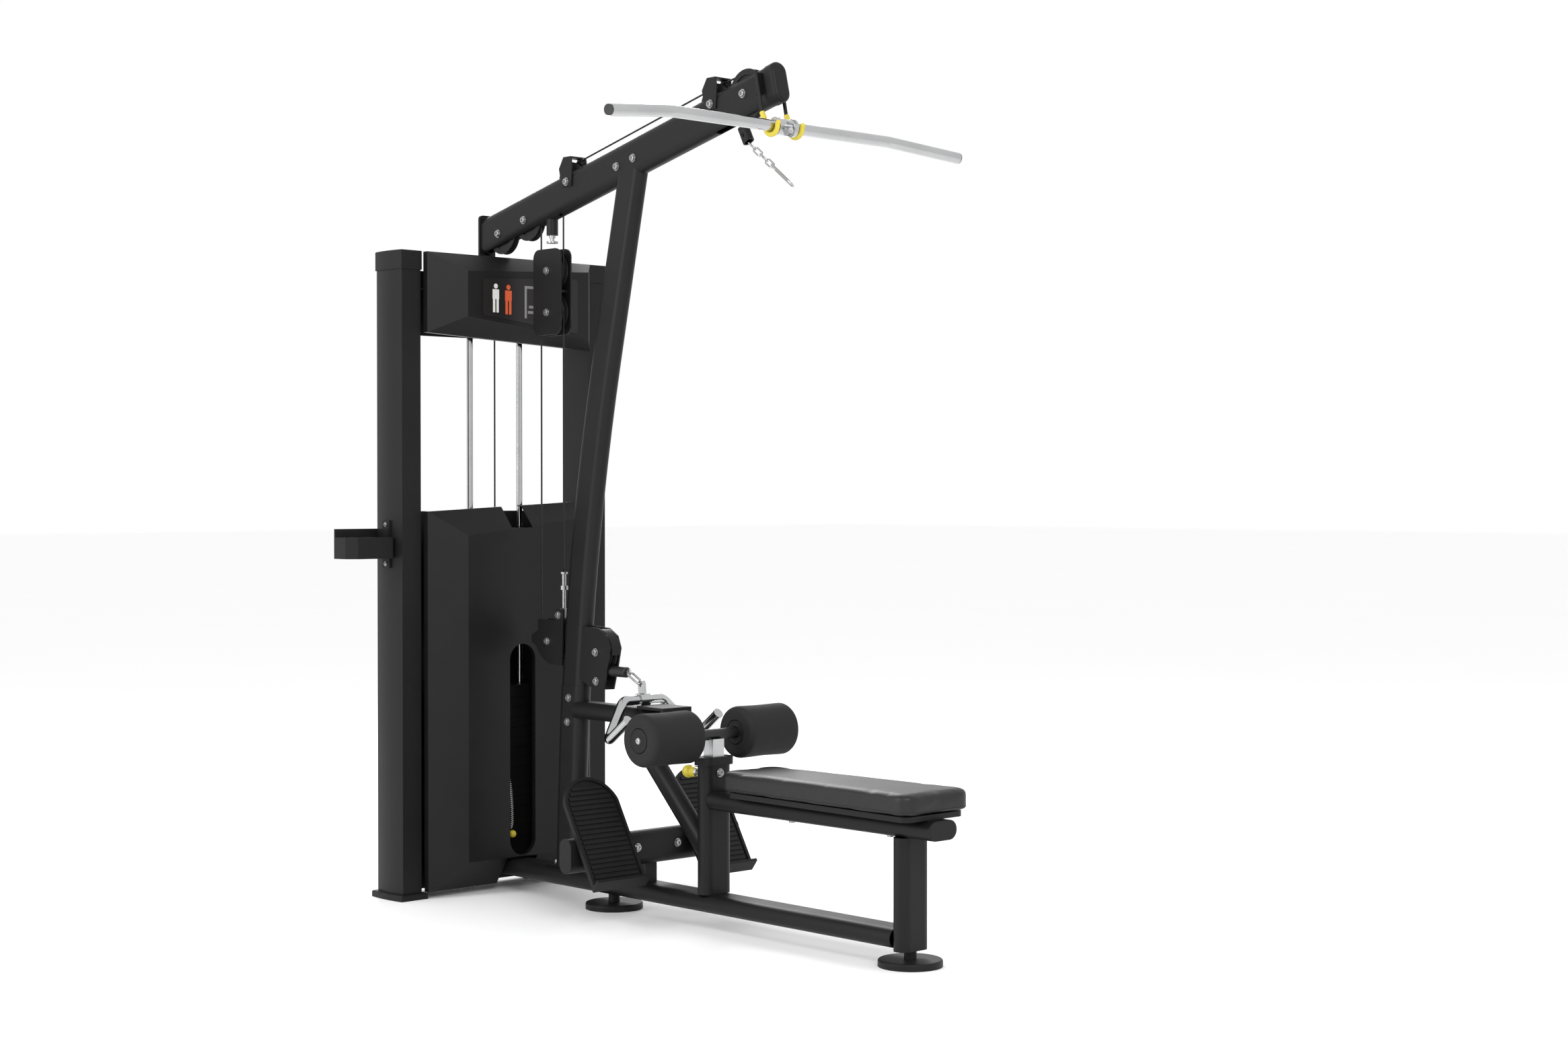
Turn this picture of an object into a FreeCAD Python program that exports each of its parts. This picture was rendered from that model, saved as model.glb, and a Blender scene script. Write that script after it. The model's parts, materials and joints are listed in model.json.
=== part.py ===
"""Lat pulldown and low row machine, built as separate pieces.

Millimetres. X runs across the machine, with the middle plane at X = 0. Y runs from the bench
(negative) to the weight tower (positive), and Z is up from the floor. Inside this file Y = 0 is
the front face of the two tower columns. Every piece is moved by Y_SHIFT when it is written, so
that the origin of the finished model is the middle of the machine's footprint, on the floor.
"""
import FreeCAD, Part

import math
import os

V = FreeCAD.Vector
X_AXIS = V(1, 0, 0)
Y_AXIS = V(0, 1, 0)
Z_AXIS = V(0, 0, 1)

# --- driving dimensions: tower ---------------------------------------------------------------
TOWER_H = 1888.0          # floor to the top of the column caps
TUBE_L = 100.0            # flat-sided oval tube of the frame, long way
TUBE_S = 50.0             # and short way
TUBE_WALL = 3.0
BEAM_H = TUBE_S
COL_IN = 312.0            # middle plane to a column's inner face
COL_W = 65.0              # column width at its front face
COL_D = 128.0             # column depth
COL_BOW = 7.0             # how far the outer side bows out
COL_WALL = 3.0
CAP_H = 55.0
CAP_LIP = 3.0             # the cap stands this far outside the column
SHOE_H = 18.0
SHOE_LIP = 13.0
COL_OUT = COL_IN + COL_W
BEAM_Z = 44.0             # underside of the tower's bottom beam and of the base rail
BEAM_D = 60.0
CROSS_BEAM_Z = (24.0, 64.0)      # bottom and top of the beam between the columns
BUMPER_R = 21.0           # rubber rings under the stack
STACK_Y = 62.0            # guide rods, selector rod and stack cable lie in this plane

# --- shrouds: moulded covers between the columns ---------------------------------------------
SHROUD_W = COL_IN - 10.0  # half width
SHROUD_FRONT = -20.0      # plane of the outer rim
FACE_Y = -75.0            # plane of the raised face
SHROUD_WALL = 3.0
FACE_LEFT = 105.0 - SHROUD_W
FACE_RIGHT = SHROUD_W - 50.0
UPPER_RIM = (TOWER_H - 237.0, TOWER_H - 267.0)     # underside of the upper rim, left and right
UPPER_FACE = (TOWER_H - 188.0, TOWER_H - 239.0)    # bottom edge of the upper face
UPPER_FACE_TOP = (TOWER_H - 56.0, TOWER_H - 33.0)
LOWER_RIM = (1130.0, 1160.0)     # top of the lower rim, left and right
LOWER_FACE_TOP = (1060.0, 1111.0)
LOWER_FACE_BOTTOM = 102.0
LOWER_RIM_BOTTOM = 20.0
SLOT_HALF = 47.0          # pin slot in the lower face
SLOT_Z = (105.0, 735.0)
SLOT_RETURN = 16.0        # the slot's edge turns inwards by this much
NOTCH_HALF = 37.0

# --- weight stack ----------------------------------------------------------------------------
ROD_X = 92.0
ROD_R = 9.5
PLATE_W = 280.0
PLATE_D = 104.0
PLATE_H = 30.0
PLATES = 16
RESTING = 2               # plates below the selector pin
STACK_Z = BEAM_Z + BEAM_H - 7.0
HEAD_H = 38.0
SELECTOR_R = 10.0
BORE_GAP = 0.8            # radial room round the guide rods
PIN_R = 4.8
HEAD_Z = STACK_Z + PLATES * PLATE_H
STACK_TOP = HEAD_Z + HEAD_H
PIN_Z = STACK_Z + (RESTING + 0.5) * PLATE_H
STUD_H = 36.0             # cable fitting on top of the stack

# --- pulleys and cable -----------------------------------------------------------------------
PULLEY_R = 60.0
FRONT_PULLEY_R = 68.0
GUIDE_R = 57.5            # the two guide wheels on top of the boom
GROOVE = 7.5              # rim radius minus the cable's centre line radius
PULLEY_T = 22.0
CABLE_R = 2.5
AXLE_R = 6.0
AXLE_GAP = 0.05
CABLE_BEND = PULLEY_R - GROOVE

# --- boom and mast ---------------------------------------------------------------------------
BOOM_H = 108.0
BOOM_TAN = 0.24           # rise of the boom per unit length towards the bench
BOOM_REF = (-343.7, TOWER_H + 175.0)   # a point of its centre line
BOOM_BACK = 96.0
BOOM_FRONT = -1152.0
MAST_FOOT_Y = -305.0
MAST_LEAN = 0.04          # lean of its straight lower part
MAST_TOP_LEAN = 0.2268
MAST_TOP = (-586.0, TOWER_H + 176.0)
MAST_BOLTS = ((-547.0, TOWER_H + 217.0), (-620.0, TOWER_H + 233.7))
MAST_R = 6500.0
MAST_SEAM_Z = 627.0
SLEEVE_T = 1.5            # thickness of the jacket round the mast's lower part

# --- base, bench and foot plates -------------------------------------------------------------
REAR_POST_Y = -1669.0
FRONT_POST_Y = -930.0
MID_FOOT_Y = -503.0
FOOT_R = 82.0
FOOT_T = 18.0
SEAT_RAIL_Z = 325.0
SEAT_RAIL_END = -1776.0
POST_TOP = 445.0
COLLAR_H = 22.0
BOARD_T = 14.0
BOARD_INSET = 14.0
PAD_T = 58.0
PAD_FRONT_Y = -1058.0
PAD_BACK_Y = -1770.0
PAD_FRONT_W = 100.0       # half widths
PAD_BACK_W = 122.0
PAD_CORNER_R = 38.0
PAD_EDGE_R = 14.0
CROSS_Y = -669.0
CROSS_Z = 196.0
CROSS_HALF = 303.0
PLATE_X = 198.0           # middle of each foot plate
FOOTPLATE_W = 186.0
FOOTPLATE_L = 318.0
FOOTPLATE_T = 12.0
FOOTPLATE_TILT = 30.3     # degrees back from upright
FOOTPLATE_LOW = (-762.0, 118.0)     # Y and Z of its lower back edge
RIM_W = 9.0               # raised rim round the ribbed field
RIM_H = 5.0
RIBS = 19
RIB_START = 22.0
RIB_PITCH = 14.4
RIB_H = 9.5
BRACE_L = 1.2 * TUBE_S
BRACE_LOW_Z = 205.0
BRACE_TOP_Y = -557.0

# --- thigh rollers ---------------------------------------------------------------------------
AXLE_Y = -927.0
AXLE_Z = 526.5
ROLLER_R = 72.0
ROLLER_IN = 81.0
ROLLER_OUT = 263.5
ROLLER_AXLE_R = 15.0
INNER_TUBE = 40.0         # side of the square tube that sets the rollers' height
INNER_BOTTOM = 190.0
HEIGHT_HOLES = 6
HOLE_PITCH = 30.0
HUB_R = 33.0
HUB_T = 5.0
HUB_L = 60.0
SCREW_R = 6.0
SCREW_DEPTH = 22.0        # the axle stops this far inside each roller's outer face

# --- lat bar, hooks and row handle -----------------------------------------------------------
BAR_Y = -1208.0
BAR_Z = TOWER_H + 258.0
BAR_R = 15.5
BAR_BEND_X = 393.0
BAR_END = (629.0, -45.0, -27.0)   # half length, and how far the ends drop forward and down
HOOK_X = 44.0
COAT_R = 7.0
HOOK_ROD_R = 5.0
HOOK_TOP = (-1146.0, TOWER_H + 408.0)      # Y and Z of the hook rods' upper ends
HOOK_R = BAR_R + COAT_R + 0.6
HANDLE_R = 14.0

RUN_GAP = 0.3             # air left between a curved piece and what it rests on
BORE_FIT = 0.08           # radial room of a sleeve that turns on a bar

# --- chain, snap hooks and cable ends --------------------------------------------------------
LINK_PITCH = 29.0
LINKS = 4
LINK_WIDTH = 13.5         # between a link's wire centres
LINK_WIRE = 2.2           # radius of the links' wire
LINK_L = LINK_PITCH + 2 * LINK_WIRE + RUN_GAP    # between the centres of a link's two end bows
SNAP_WIRE = 3.2           # radius of the snap hooks' wire
SNAP_W = 22.0             # width of a snap hook between wire centres
LAT_SNAP_L = 98.0
CHAIN_TOP = V(0, -1073.0, TOWER_H + 230.0)
CHAIN_DIR = V(0, -0.796, -0.605).normalize()
CHAIN_TWIST = 33.0        # degrees that the first link is turned about the chain, from across the machine
STOPPER_TOP = V(0, -1050.0, TOWER_H + 275.0)
STOPPER_DIR = V(0, -0.46, -0.888).normalize()
STOPPER_L = 46.0
STOPPER_DEEP = 34.0
STOPPER_WIDE = 26.0
ROW_STOP = (-492.0, -562.0)     # front and back of the row cable's stop
ROW_STOP_R = 15.0

# --- row handle ------------------------------------------------------------------------------
EYE = V(0, -626.0, 645.0)       # where the snap hook holds the yoke's tab
YOKE_Y, YOKE_Z = -631.0, 603.0  # axis of the handle's middle
YOKE_HALF = 18.0
HANDLE_HALF = 72.0              # bends of the handle's middle
GRIP_X = 165.0
GRIP_L = 108.0
GRIP_CORNER = (-675.0, 496.0)   # Y and Z of the lower bends
GRIP_DIR = V(0, -0.80, 0.60)

# --- wheel centres, (Y, Z) -------------------------------------------------------------------
REAR_PULLEY = (STACK_Y - CABLE_BEND, TOWER_H + 71.0)
MID_PULLEY = (-116.0, TOWER_H + 101.5)
DROP_Y = MID_PULLEY[0] - CABLE_BEND     # the cable that comes down to the block
BLOCK_Y = DROP_Y - CABLE_BEND
RISE_Y = BLOCK_Y - CABLE_BEND           # the cable that goes up from the block
BLOCK_UPPER = (BLOCK_Y, TOWER_H - 55.0)
BLOCK_LOWER = (BLOCK_Y, TOWER_H - 176.4)
GUIDE_A = (RISE_Y - GUIDE_R + GROOVE, TOWER_H + 195.0)
GUIDE_B = (-949.0, TOWER_H + 345.7)
FRONT_PULLEY = (-1075.0, TOWER_H + 359.3)
REAR_LOW = (DROP_Y - CABLE_BEND, 750.0)
FRONT_LOW = (-446.0, 728.0)
ROW_Z = FRONT_LOW[1] - CABLE_BEND

# --- floating block, low brackets and adjuster -----------------------------------------------
BLOCK_W = 128.0
BLOCK_Z = (TOWER_H - 242.0, TOWER_H + 9.0)
BLOCK_CORNER = 26.0
CHEEK_T = 5.0             # thickness of the block's and the brackets' cheeks
CHEEK_IN = 16.0           # middle plane to their inner faces
SPACER_Y = 45.0           # the block's spacers stand this far before and behind its middle
ADJUSTER_Z = (828.0, 953.6)
LOW_BOLT = (-449.0, 645.0)
KEEPER = (REAR_LOW[0] + PULLEY_R + 5.5, REAR_LOW[1] + 6.0)    # small pin that keeps the cable on the rear low wheel
KEEPER_R = 4.0

# --- pop pin, shelf and curly cord -----------------------------------------------------------
POP_PIN = (0.0, -830.0, 418.0)
POP_SHAFT_R = 6.0
SHELF_TOP = 582.0         # just below the handle where it hangs
SHELF_Z = SHELF_TOP - TUBE_S / 2.0
SHELF_END = -765.0
SHELF_W = 80.0
LANYARD_OUTER = 4.5       # outer radius of the curly cord
# the cord's route, as (X, distance in front of the plates, Z)
LANYARD_ROUTE = ((0, 10, 334), (6, 13, 318), (10, 14, 286), (12, 15, 252), (12, 17, 220), (9, 20, 193),
                 (3, 24, 176.5))

FRONT_EXTENT = SEAT_RAIL_END - 6.0
BACK_EXTENT = COL_D + SHOE_LIP
Y_SHIFT = -(FRONT_EXTENT + BACK_EXTENT) / 2.0

PIECES = {}


# --- helpers ---------------------------------------------------------------------------------
def keep(name, *solids):
    """Add solids to a node. A node holds one solid, or a group of like pieces of one body."""
    PIECES.setdefault(name, []).extend(s.removeSplitter() for s in solids)


def box(x0, x1, y0, y1, z0, z1):
    return Part.makeBox(x1 - x0, y1 - y0, z1 - z0, V(x0, y0, z0))


def cyl(at, axis, radius, length):
    return Part.makeCylinder(radius, length, at, axis)


def across(x0, x1, y, z, radius):
    """A round bar along X."""
    return cyl(V(x0, y, z), X_AXIS, radius, x1 - x0)


def prism(points, direction):
    """A flat outline pushed along a vector."""
    return Part.Face(Part.makePolygon(points + points[:1])).extrude(direction)


def plate_yz(points, x0, thickness):
    """A sheet in a plane of constant X from (y, z) points."""
    return prism([V(x0, y, z) for y, z in points], V(thickness, 0, 0))


def oval_wire(centre, along_long, along_short, long_size, short_size):
    """Outline of a flat-sided oval: two straight sides and two half circles."""
    r = short_size / 2.0
    h = along_long * (long_size / 2.0 - r)
    s = along_short * r
    a, b, c, d = centre - h - s, centre + h - s, centre + h + s, centre - h + s
    end_1 = centre + h + along_long * r
    end_2 = centre - h - along_long * r
    return Part.Wire([line(a, b), Part.Arc(b, end_1, c).toShape(), line(c, d), Part.Arc(d, end_2, a).toShape()])


def oval_tube(start, end, along_long, long_size, short_size, wall=TUBE_WALL):
    """A straight hollow oval tube."""
    run = end - start
    along_short = run.cross(along_long).normalize()
    along_long = along_short.cross(run).normalize()
    outer = Part.Face(oval_wire(start, along_long, along_short, long_size, short_size)).extrude(run)
    hole = oval_wire(start, along_long, along_short, long_size - 2 * wall, short_size - 2 * wall)
    return outer.cut(Part.Face(hole).extrude(run))


def oval_bar(start, end, along_long, long_size, short_size):
    run = end - start
    along_short = run.cross(along_long).normalize()
    return Part.Face(oval_wire(start, along_long, along_short, long_size, short_size)).extrude(run)


def rounded_path(points, radii):
    """Straight runs joined by tangent arcs, one radius for each inner point."""
    edges = []
    last = points[0]
    for i in range(1, len(points) - 1):
        before = (points[i - 1] - points[i]).normalize()
        after = (points[i + 1] - points[i]).normalize()
        half = math.acos(max(-1.0, min(1.0, before.dot(after)))) / 2.0
        reach = radii[i - 1] / math.tan(half)
        a = points[i] + before * reach
        b = points[i] + after * reach
        middle = (before + after).normalize()
        m = points[i] + middle * (radii[i - 1] / math.sin(half) - radii[i - 1])
        edges.append(line(last, a))
        edges.append(Part.Arc(a, m, b).toShape())
        last = b
    edges.append(line(last, points[-1]))
    return Part.Wire(edges)


def sweep(path, radius):
    """A round rod or cable along a path of lines and arcs."""
    start = path.Edges[0]
    point = start.valueAt(start.FirstParameter)
    profile = Part.Wire([Part.makeCircle(radius, point, start.tangentAt(start.FirstParameter))])
    return path.makePipeShell([profile], True, False)


def rod(points, radii, radius):
    return sweep(rounded_path(points, radii), radius)


def arc_points(centre_y, centre_z, radius, a0, a1, x=0.0):
    """Start, middle and end of an arc in a plane of constant X; angles in degrees from +Y to +Z."""
    def at(a):
        t = math.radians(a)
        return V(x, centre_y + radius * math.cos(t), centre_z + radius * math.sin(t))
    return at(a0), at((a0 + a1) / 2.0), at(a1)


def hex_bolt(at, axis, head_r=9.0, head_h=6.0, washer_r=12.0):
    """A capped nut or bolt head on its washer, standing on a face, with a hex socket."""
    washer = cyl(at, axis, washer_r, 2.0)
    head = cyl(at + axis * 2.0, axis, head_r, head_h)
    rim = [e for e in head.Edges if e.Curve.TypeId == "Part::GeomCircle"]
    top = max(rim, key=lambda e: e.CenterOfMass.dot(axis))
    head = head.makeFillet(1.6, [top])
    socket = cyl(at + axis * (head_h - 1.0), axis, head_r * 0.45, 4.0)
    return washer.fuse(head.cut(socket))


def bolt_pair(y, z, half_x, **sizes):
    """The heads at both ends of one bolt along X."""
    return [hex_bolt(V(half_x, y, z), X_AXIS, **sizes), hex_bolt(V(-half_x, y, z), V(-1, 0, 0), **sizes)]


def line(a, b):
    return Part.LineSegment(a, b).toShape()


def largest(shape):
    """The biggest solid of a cut's result."""
    return max(shape.Solids, key=lambda s: s.Volume)


def circles(shape):
    return [e for e in shape.Edges if e.Curve.TypeId == "Part::GeomCircle"]


def boom_z(y):
    """Height of the boom's centre line."""
    return BOOM_REF[1] - BOOM_TAN * (y - BOOM_REF[0])


def boom_upright():
    """Square to the boom, in its plane."""
    tilt = math.atan(BOOM_TAN)
    return V(0, math.sin(tilt), math.cos(tilt))


# --- tower -----------------------------------------------------------------------------------
def column_outline(side, grow, z):
    """Column section: flat front, back and inside, with a bowed outer side."""
    inner = side * (COL_IN - grow)
    outer = side * (COL_OUT + grow)
    front, back = -grow, COL_D + grow
    bowed = V(side * (COL_OUT + COL_BOW + grow), COL_D / 2.0, z)
    a, b, c, d = V(inner, front, z), V(outer, front, z), V(outer, back, z), V(inner, back, z)
    return Part.Wire([line(a, b), Part.Arc(b, bowed, c).toShape(), line(c, d), line(d, a)])


def column_block(side, grow, z0, z1):
    return Part.Face(column_outline(side, grow, z0)).extrude(V(0, 0, z1 - z0))


def make_columns():
    cap_z = TOWER_H - CAP_H
    for side in (-1, 1):
        body = column_block(side, 0.0, SHOE_H, TOWER_H - CAP_LIP)
        hollow = column_block(side, -COL_WALL, SHOE_H, TOWER_H - CAP_LIP)
        keep("columns", body.cut(hollow))
        cap = column_block(side, CAP_LIP, cap_z, TOWER_H)
        seat = column_block(side, 0.0, cap_z, TOWER_H - CAP_LIP)
        top_edges = [e for e in cap.Edges if abs(e.BoundBox.ZMin - TOWER_H) < 0.01]
        keep("column_end_caps", cap.makeChamfer(1.5, top_edges).cut(seat))
        shoe = column_block(side, SHOE_LIP, 0.0, SHOE_H)
        ring = [e for e in shoe.Edges if abs(e.BoundBox.ZMin - SHOE_H) < 0.01]
        keep("column_end_caps", shoe.makeFillet(5.0, ring))


def make_beams():
    """Cross beams that tie the columns, and the two guide rods between them."""
    y0, y1 = STACK_Y - BEAM_D / 2.0, STACK_Y + BEAM_D / 2.0
    top_z = TOWER_H - CAP_H - BEAM_H
    lower = box(-COL_IN, COL_IN, y0, y1, CROSS_BEAM_Z[0], CROSS_BEAM_Z[1])
    upper = box(-COL_IN, COL_IN, y0, BOOM_BACK, top_z, top_z + BEAM_H)
    for x in (-ROD_X, ROD_X):
        lower = lower.cut(cyl(V(x, STACK_Y, CROSS_BEAM_Z[0]), Z_AXIS, ROD_R, BEAM_H))
        upper = upper.cut(cyl(V(x, STACK_Y, top_z), Z_AXIS, ROD_R, BEAM_H))
    cable_hole = cyl(V(0, STACK_Y, top_z), Z_AXIS, STUD_H / 2.0, BEAM_H)
    keep("tower_beams", lower)
    keep("tower_beams", upper.cut(cable_hole))
    rod_h = top_z + BEAM_H - CROSS_BEAM_Z[0]
    for x in (-ROD_X, ROD_X):
        keep("guide_rods", cyl(V(x, STACK_Y, CROSS_BEAM_Z[0]), Z_AXIS, ROD_R, rod_h))
        bumper = cyl(V(x, STACK_Y, CROSS_BEAM_Z[1]), Z_AXIS, BUMPER_R, STACK_Z - CROSS_BEAM_Z[1] - RUN_GAP)
        keep("tube_end_caps", bumper.cut(cyl(V(x, STACK_Y, CROSS_BEAM_Z[1]), Z_AXIS, ROD_R, BEAM_H)))


def shroud_shell(levels):
    """A moulded cover: a stack of four-cornered outlines joined by flat facets, open at the back.

    Each level is (y, [(x, z), ...]) from back to front.
    """
    def wire(y, corners):
        points = [V(x, y, z) for x, z in corners]
        return Part.makePolygon(points + points[:1])

    def inset(corners, d):
        (x0, z0), (x1, z1), (x2, z2), (x3, z3) = corners
        return [(x0 + d, z0 + d), (x1 - d, z1 + d), (x2 - d, z2 - d), (x3 + d, z3 - d)]

    outer = Part.makeLoft([wire(y, c) for y, c in levels], True, True)
    d = SHROUD_WALL
    inner_levels = [(levels[0][0] + 1.0, inset(levels[0][1], d))]
    inner_levels += [(levels[1][0], inset(levels[1][1], d))]
    inner_levels += [(levels[2][0] + d, inset(levels[2][1], d))]
    inner = Part.makeLoft([wire(y, c) for y, c in inner_levels], True, True)
    return outer.cut(inner)


def make_shrouds():
    w = SHROUD_W
    z1 = TOWER_H - 2.0
    rim = [(-w, UPPER_RIM[0]), (w, UPPER_RIM[1]), (w, z1), (-w, z1)]
    face = [(FACE_LEFT, UPPER_FACE[0]), (FACE_RIGHT, UPPER_FACE[1]),
            (FACE_RIGHT, UPPER_FACE_TOP[1]), (FACE_LEFT, UPPER_FACE_TOP[0])]
    upper = shroud_shell([(0.0, rim), (SHROUD_FRONT, rim), (FACE_Y, face)])
    keep("shroud_upper", upper)

    rim = [(-w, LOWER_RIM_BOTTOM), (w, LOWER_RIM_BOTTOM), (w, LOWER_RIM[1]), (-w, LOWER_RIM[0])]
    face = [(FACE_LEFT, LOWER_FACE_BOTTOM), (FACE_RIGHT, LOWER_FACE_BOTTOM),
            (FACE_RIGHT, LOWER_FACE_TOP[1]), (FACE_LEFT, LOWER_FACE_TOP[0])]
    lower = shroud_shell([(0.0, rim), (SHROUD_FRONT, rim), (FACE_Y, face)])
    middle = (SLOT_Z[0] + SLOT_Z[1]) / 2.0
    length = SLOT_Z[1] - SLOT_Z[0]

    def slot(half, y0, y1, grow):
        start, end = V(0, y0, middle), V(0, y1, middle)
        return oval_bar(start, end, Z_AXIS, length + 2 * grow, 2 * (half + grow))

    lip = slot(SLOT_HALF, FACE_Y, FACE_Y + SLOT_RETURN, SHROUD_WALL)
    lower = lower.fuse(lip).cut(slot(SLOT_HALF, FACE_Y - 5.0, FACE_Y + SLOT_RETURN + 5.0, 0.0))
    notch_z = (LOWER_FACE_TOP[0] + LOWER_FACE_TOP[1]) / 2.0 - 5.0
    lower = lower.cut(box(-NOTCH_HALF, NOTCH_HALF, FACE_Y - 5.0, 5.0, notch_z, LOWER_RIM[1] + 30.0))
    rail = TUBE_L / 2.0 + 6.0
    rail_top = BEAM_Z + BEAM_H + 5.0
    lower = lower.cut(box(-rail, rail, FACE_Y - 5.0, 5.0, LOWER_RIM_BOTTOM - 5.0, rail_top))
    keep("shroud_lower", lower)

    back = COL_D - 6.0
    keep("shroud_lower", box(-COL_IN + 1, COL_IN - 1, back, back + 3.0, LOWER_RIM_BOTTOM, LOWER_RIM[0]))
    keep("shroud_upper", box(-COL_IN + 1, COL_IN - 1, back, back + 3.0, UPPER_RIM[0], TOWER_H - CAP_H))


# --- weight stack ----------------------------------------------------------------------------
def weight_plate(z0, height):
    """One iron plate: bored for both guide rods, the selector rod and, from the front, the pin."""
    w, d = PLATE_W / 2.0, PLATE_D / 2.0
    slab = box(-w, w, STACK_Y - d, STACK_Y + d, z0, z0 + height)
    rim = [e for e in slab.Edges if e.BoundBox.ZLength < 0.01]
    slab = slab.makeChamfer(1.2, rim)
    for x in (-ROD_X, ROD_X):
        slab = slab.cut(cyl(V(x, STACK_Y, z0), Z_AXIS, ROD_R + BORE_GAP, height))
    slab = slab.cut(cyl(V(0, STACK_Y, z0), Z_AXIS, SELECTOR_R + 1.0, height))
    pin_hole = cyl(V(0, STACK_Y - d - 1, z0 + height / 2.0), Y_AXIS, PIN_R + BORE_GAP, d)
    return slab.cut(pin_hole)


def make_stack():
    plates = [weight_plate(STACK_Z + i * PLATE_H, PLATE_H) for i in range(PLATES)]
    keep("weight_plates_resting", *plates[:RESTING])
    keep("weight_plates_lifted", *plates[RESTING:])

    w, d = PLATE_W / 2.0, PLATE_D / 2.0
    head = box(-w, w, STACK_Y - d, STACK_Y + d, HEAD_Z, STACK_TOP)
    head = head.makeChamfer(2.0, [e for e in head.Edges if e.BoundBox.ZLength < 0.01])
    for x in (-ROD_X, ROD_X):
        head = head.cut(cyl(V(x, STACK_Y, HEAD_Z), Z_AXIS, ROD_R + BORE_GAP, HEAD_H))
    head = head.cut(cyl(V(0, STACK_Y, HEAD_Z), Z_AXIS, SELECTOR_R, HEAD_H))
    keep("stack_head_plate", head)

    selector = cyl(V(0, STACK_Y, STACK_Z + 12.0), Z_AXIS, SELECTOR_R, STACK_TOP - STACK_Z - 12.0)
    for i in range(PLATES):
        z = STACK_Z + (i + 0.5) * PLATE_H
        selector = selector.cut(cyl(V(0, STACK_Y - 15, z), Y_AXIS, PIN_R + BORE_GAP, 30.0))
    stud = cyl(V(0, STACK_Y, STACK_TOP), Z_AXIS, SELECTOR_R, 12.0)
    stud = stud.fuse(cyl(V(0, STACK_Y, STACK_TOP + 12.0), Z_AXIS, 7.0, STUD_H - 12.0))
    keep("selector_rod", selector.fuse(stud))

    label = box(-24.0, -14.0, STACK_Y - d - 0.8, STACK_Y - d, STACK_Z + RESTING * PLATE_H + 2, HEAD_Z - 2)
    keep("weight_plates_lifted", label)

    front = STACK_Y - d
    shaft = cyl(V(0, front - 22.0, PIN_Z), Y_AXIS, PIN_R, 22.0 + d + 8.0)
    collar = cyl(V(0, front - 22.0, PIN_Z), Y_AXIS, 8.0, 20.0)
    keep("selector_pin", shaft.fuse(collar))
    ball = Part.makeSphere(11.5, V(0, front - 34.0, PIN_Z))
    neck = cyl(V(0, front - 34.0, PIN_Z), Y_AXIS, 8.0, 12.0)
    keep("selector_knob", ball.fuse(neck))
    ring_z = LANYARD_ROUTE[0][2] + 9.5
    loop = Part.makeTorus(7.0, 1.5, V(0, front - 4.0 - 5.5, ring_z), X_AXIS)
    tab = box(-3.0, 3.0, front - 4.0, front, ring_z - 5.0, ring_z + 5.0)
    keep("selector_rod", tab.fuse(loop))


def make_lanyard():
    """A curly cord from a ring on a plate's front to the knob of the pin, as one fat tube."""
    front = STACK_Y - PLATE_D / 2.0
    points = [V(x, front - ahead, z) for x, ahead, z in LANYARD_ROUTE]
    radii = []
    for before, here, after in zip(points, points[1:], points[2:]):
        a = here - before
        b = after - here
        radii.append(0.45 * min(a.Length, b.Length) / math.tan(a.getAngle(b) / 2.0))
    print("lanyard radii", [round(r) for r in radii])
    path = rounded_path(points, radii)
    tube = sweep(path, LANYARD_OUTER)
    print("lanyard length", round(path.Length), "volume ratio",
          round(tube.Volume / (path.Length * math.pi * LANYARD_OUTER ** 2), 3))
    keep("pin_lanyard", tube)


# --- pulleys ---------------------------------------------------------------------------------
def make_pulley(name, centre, radius=PULLEY_R):
    """A grooved wheel along X, with a shallow dish on each side and a bored hub."""
    y, z = centre
    half = PULLEY_T / 2.0
    seat = radius - GROOVE
    wheel = across(-half, half, y, z, radius)
    outline = [V(-half + 2, 0, radius + 1), V(-CABLE_R - 0.4, 0, seat - CABLE_R - 0.2),
               V(CABLE_R + 0.4, 0, seat - CABLE_R - 0.2), V(half - 2, 0, radius + 1)]
    groove = Part.Face(Part.makePolygon(outline + outline[:1])).revolve(V(0, 0, 0), X_AXIS, 360)
    groove.translate(V(0, y, z))
    wheel = wheel.cut(groove)
    for x0 in (-half, half - 3.0):
        dish = across(x0, x0 + 3.0, y, z, seat - 8.0).cut(across(x0, x0 + 3.0, y, z, 17.0))
        wheel = wheel.cut(dish)
    keep(name, wheel.cut(across(-half, half, y, z, AXLE_R + AXLE_GAP)))


def make_pulleys():
    make_pulley("pulley_rear", REAR_PULLEY)
    make_pulley("pulley_mid", MID_PULLEY)
    make_pulley("pulley_guide_rear", GUIDE_A, GUIDE_R)
    make_pulley("pulley_guide_front", GUIDE_B, GUIDE_R)
    make_pulley("pulley_front", FRONT_PULLEY, FRONT_PULLEY_R)
    make_pulley("pulley_block_upper", BLOCK_UPPER)
    make_pulley("pulley_block_lower", BLOCK_LOWER)
    make_pulley("pulley_low_rear", REAR_LOW)
    make_pulley("pulley_low_front", FRONT_LOW)
    inside = TUBE_S / 2.0
    boom_axles = []
    for centre in (REAR_PULLEY, MID_PULLEY, GUIDE_A, GUIDE_B, FRONT_PULLEY):
        boom_axles.append(across(-inside, inside, *centre, AXLE_R))
    keep("pulley_axles", *boom_axles)
    heads = []
    for y, z in (REAR_PULLEY, MID_PULLEY, FRONT_PULLEY, *MAST_BOLTS):
        heads += bolt_pair(y, z, inside)
    for y, z in (GUIDE_A, GUIDE_B):
        heads += bolt_pair(y, z, inside + 4.0)
    keep("frame_bolts", *heads)


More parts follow.
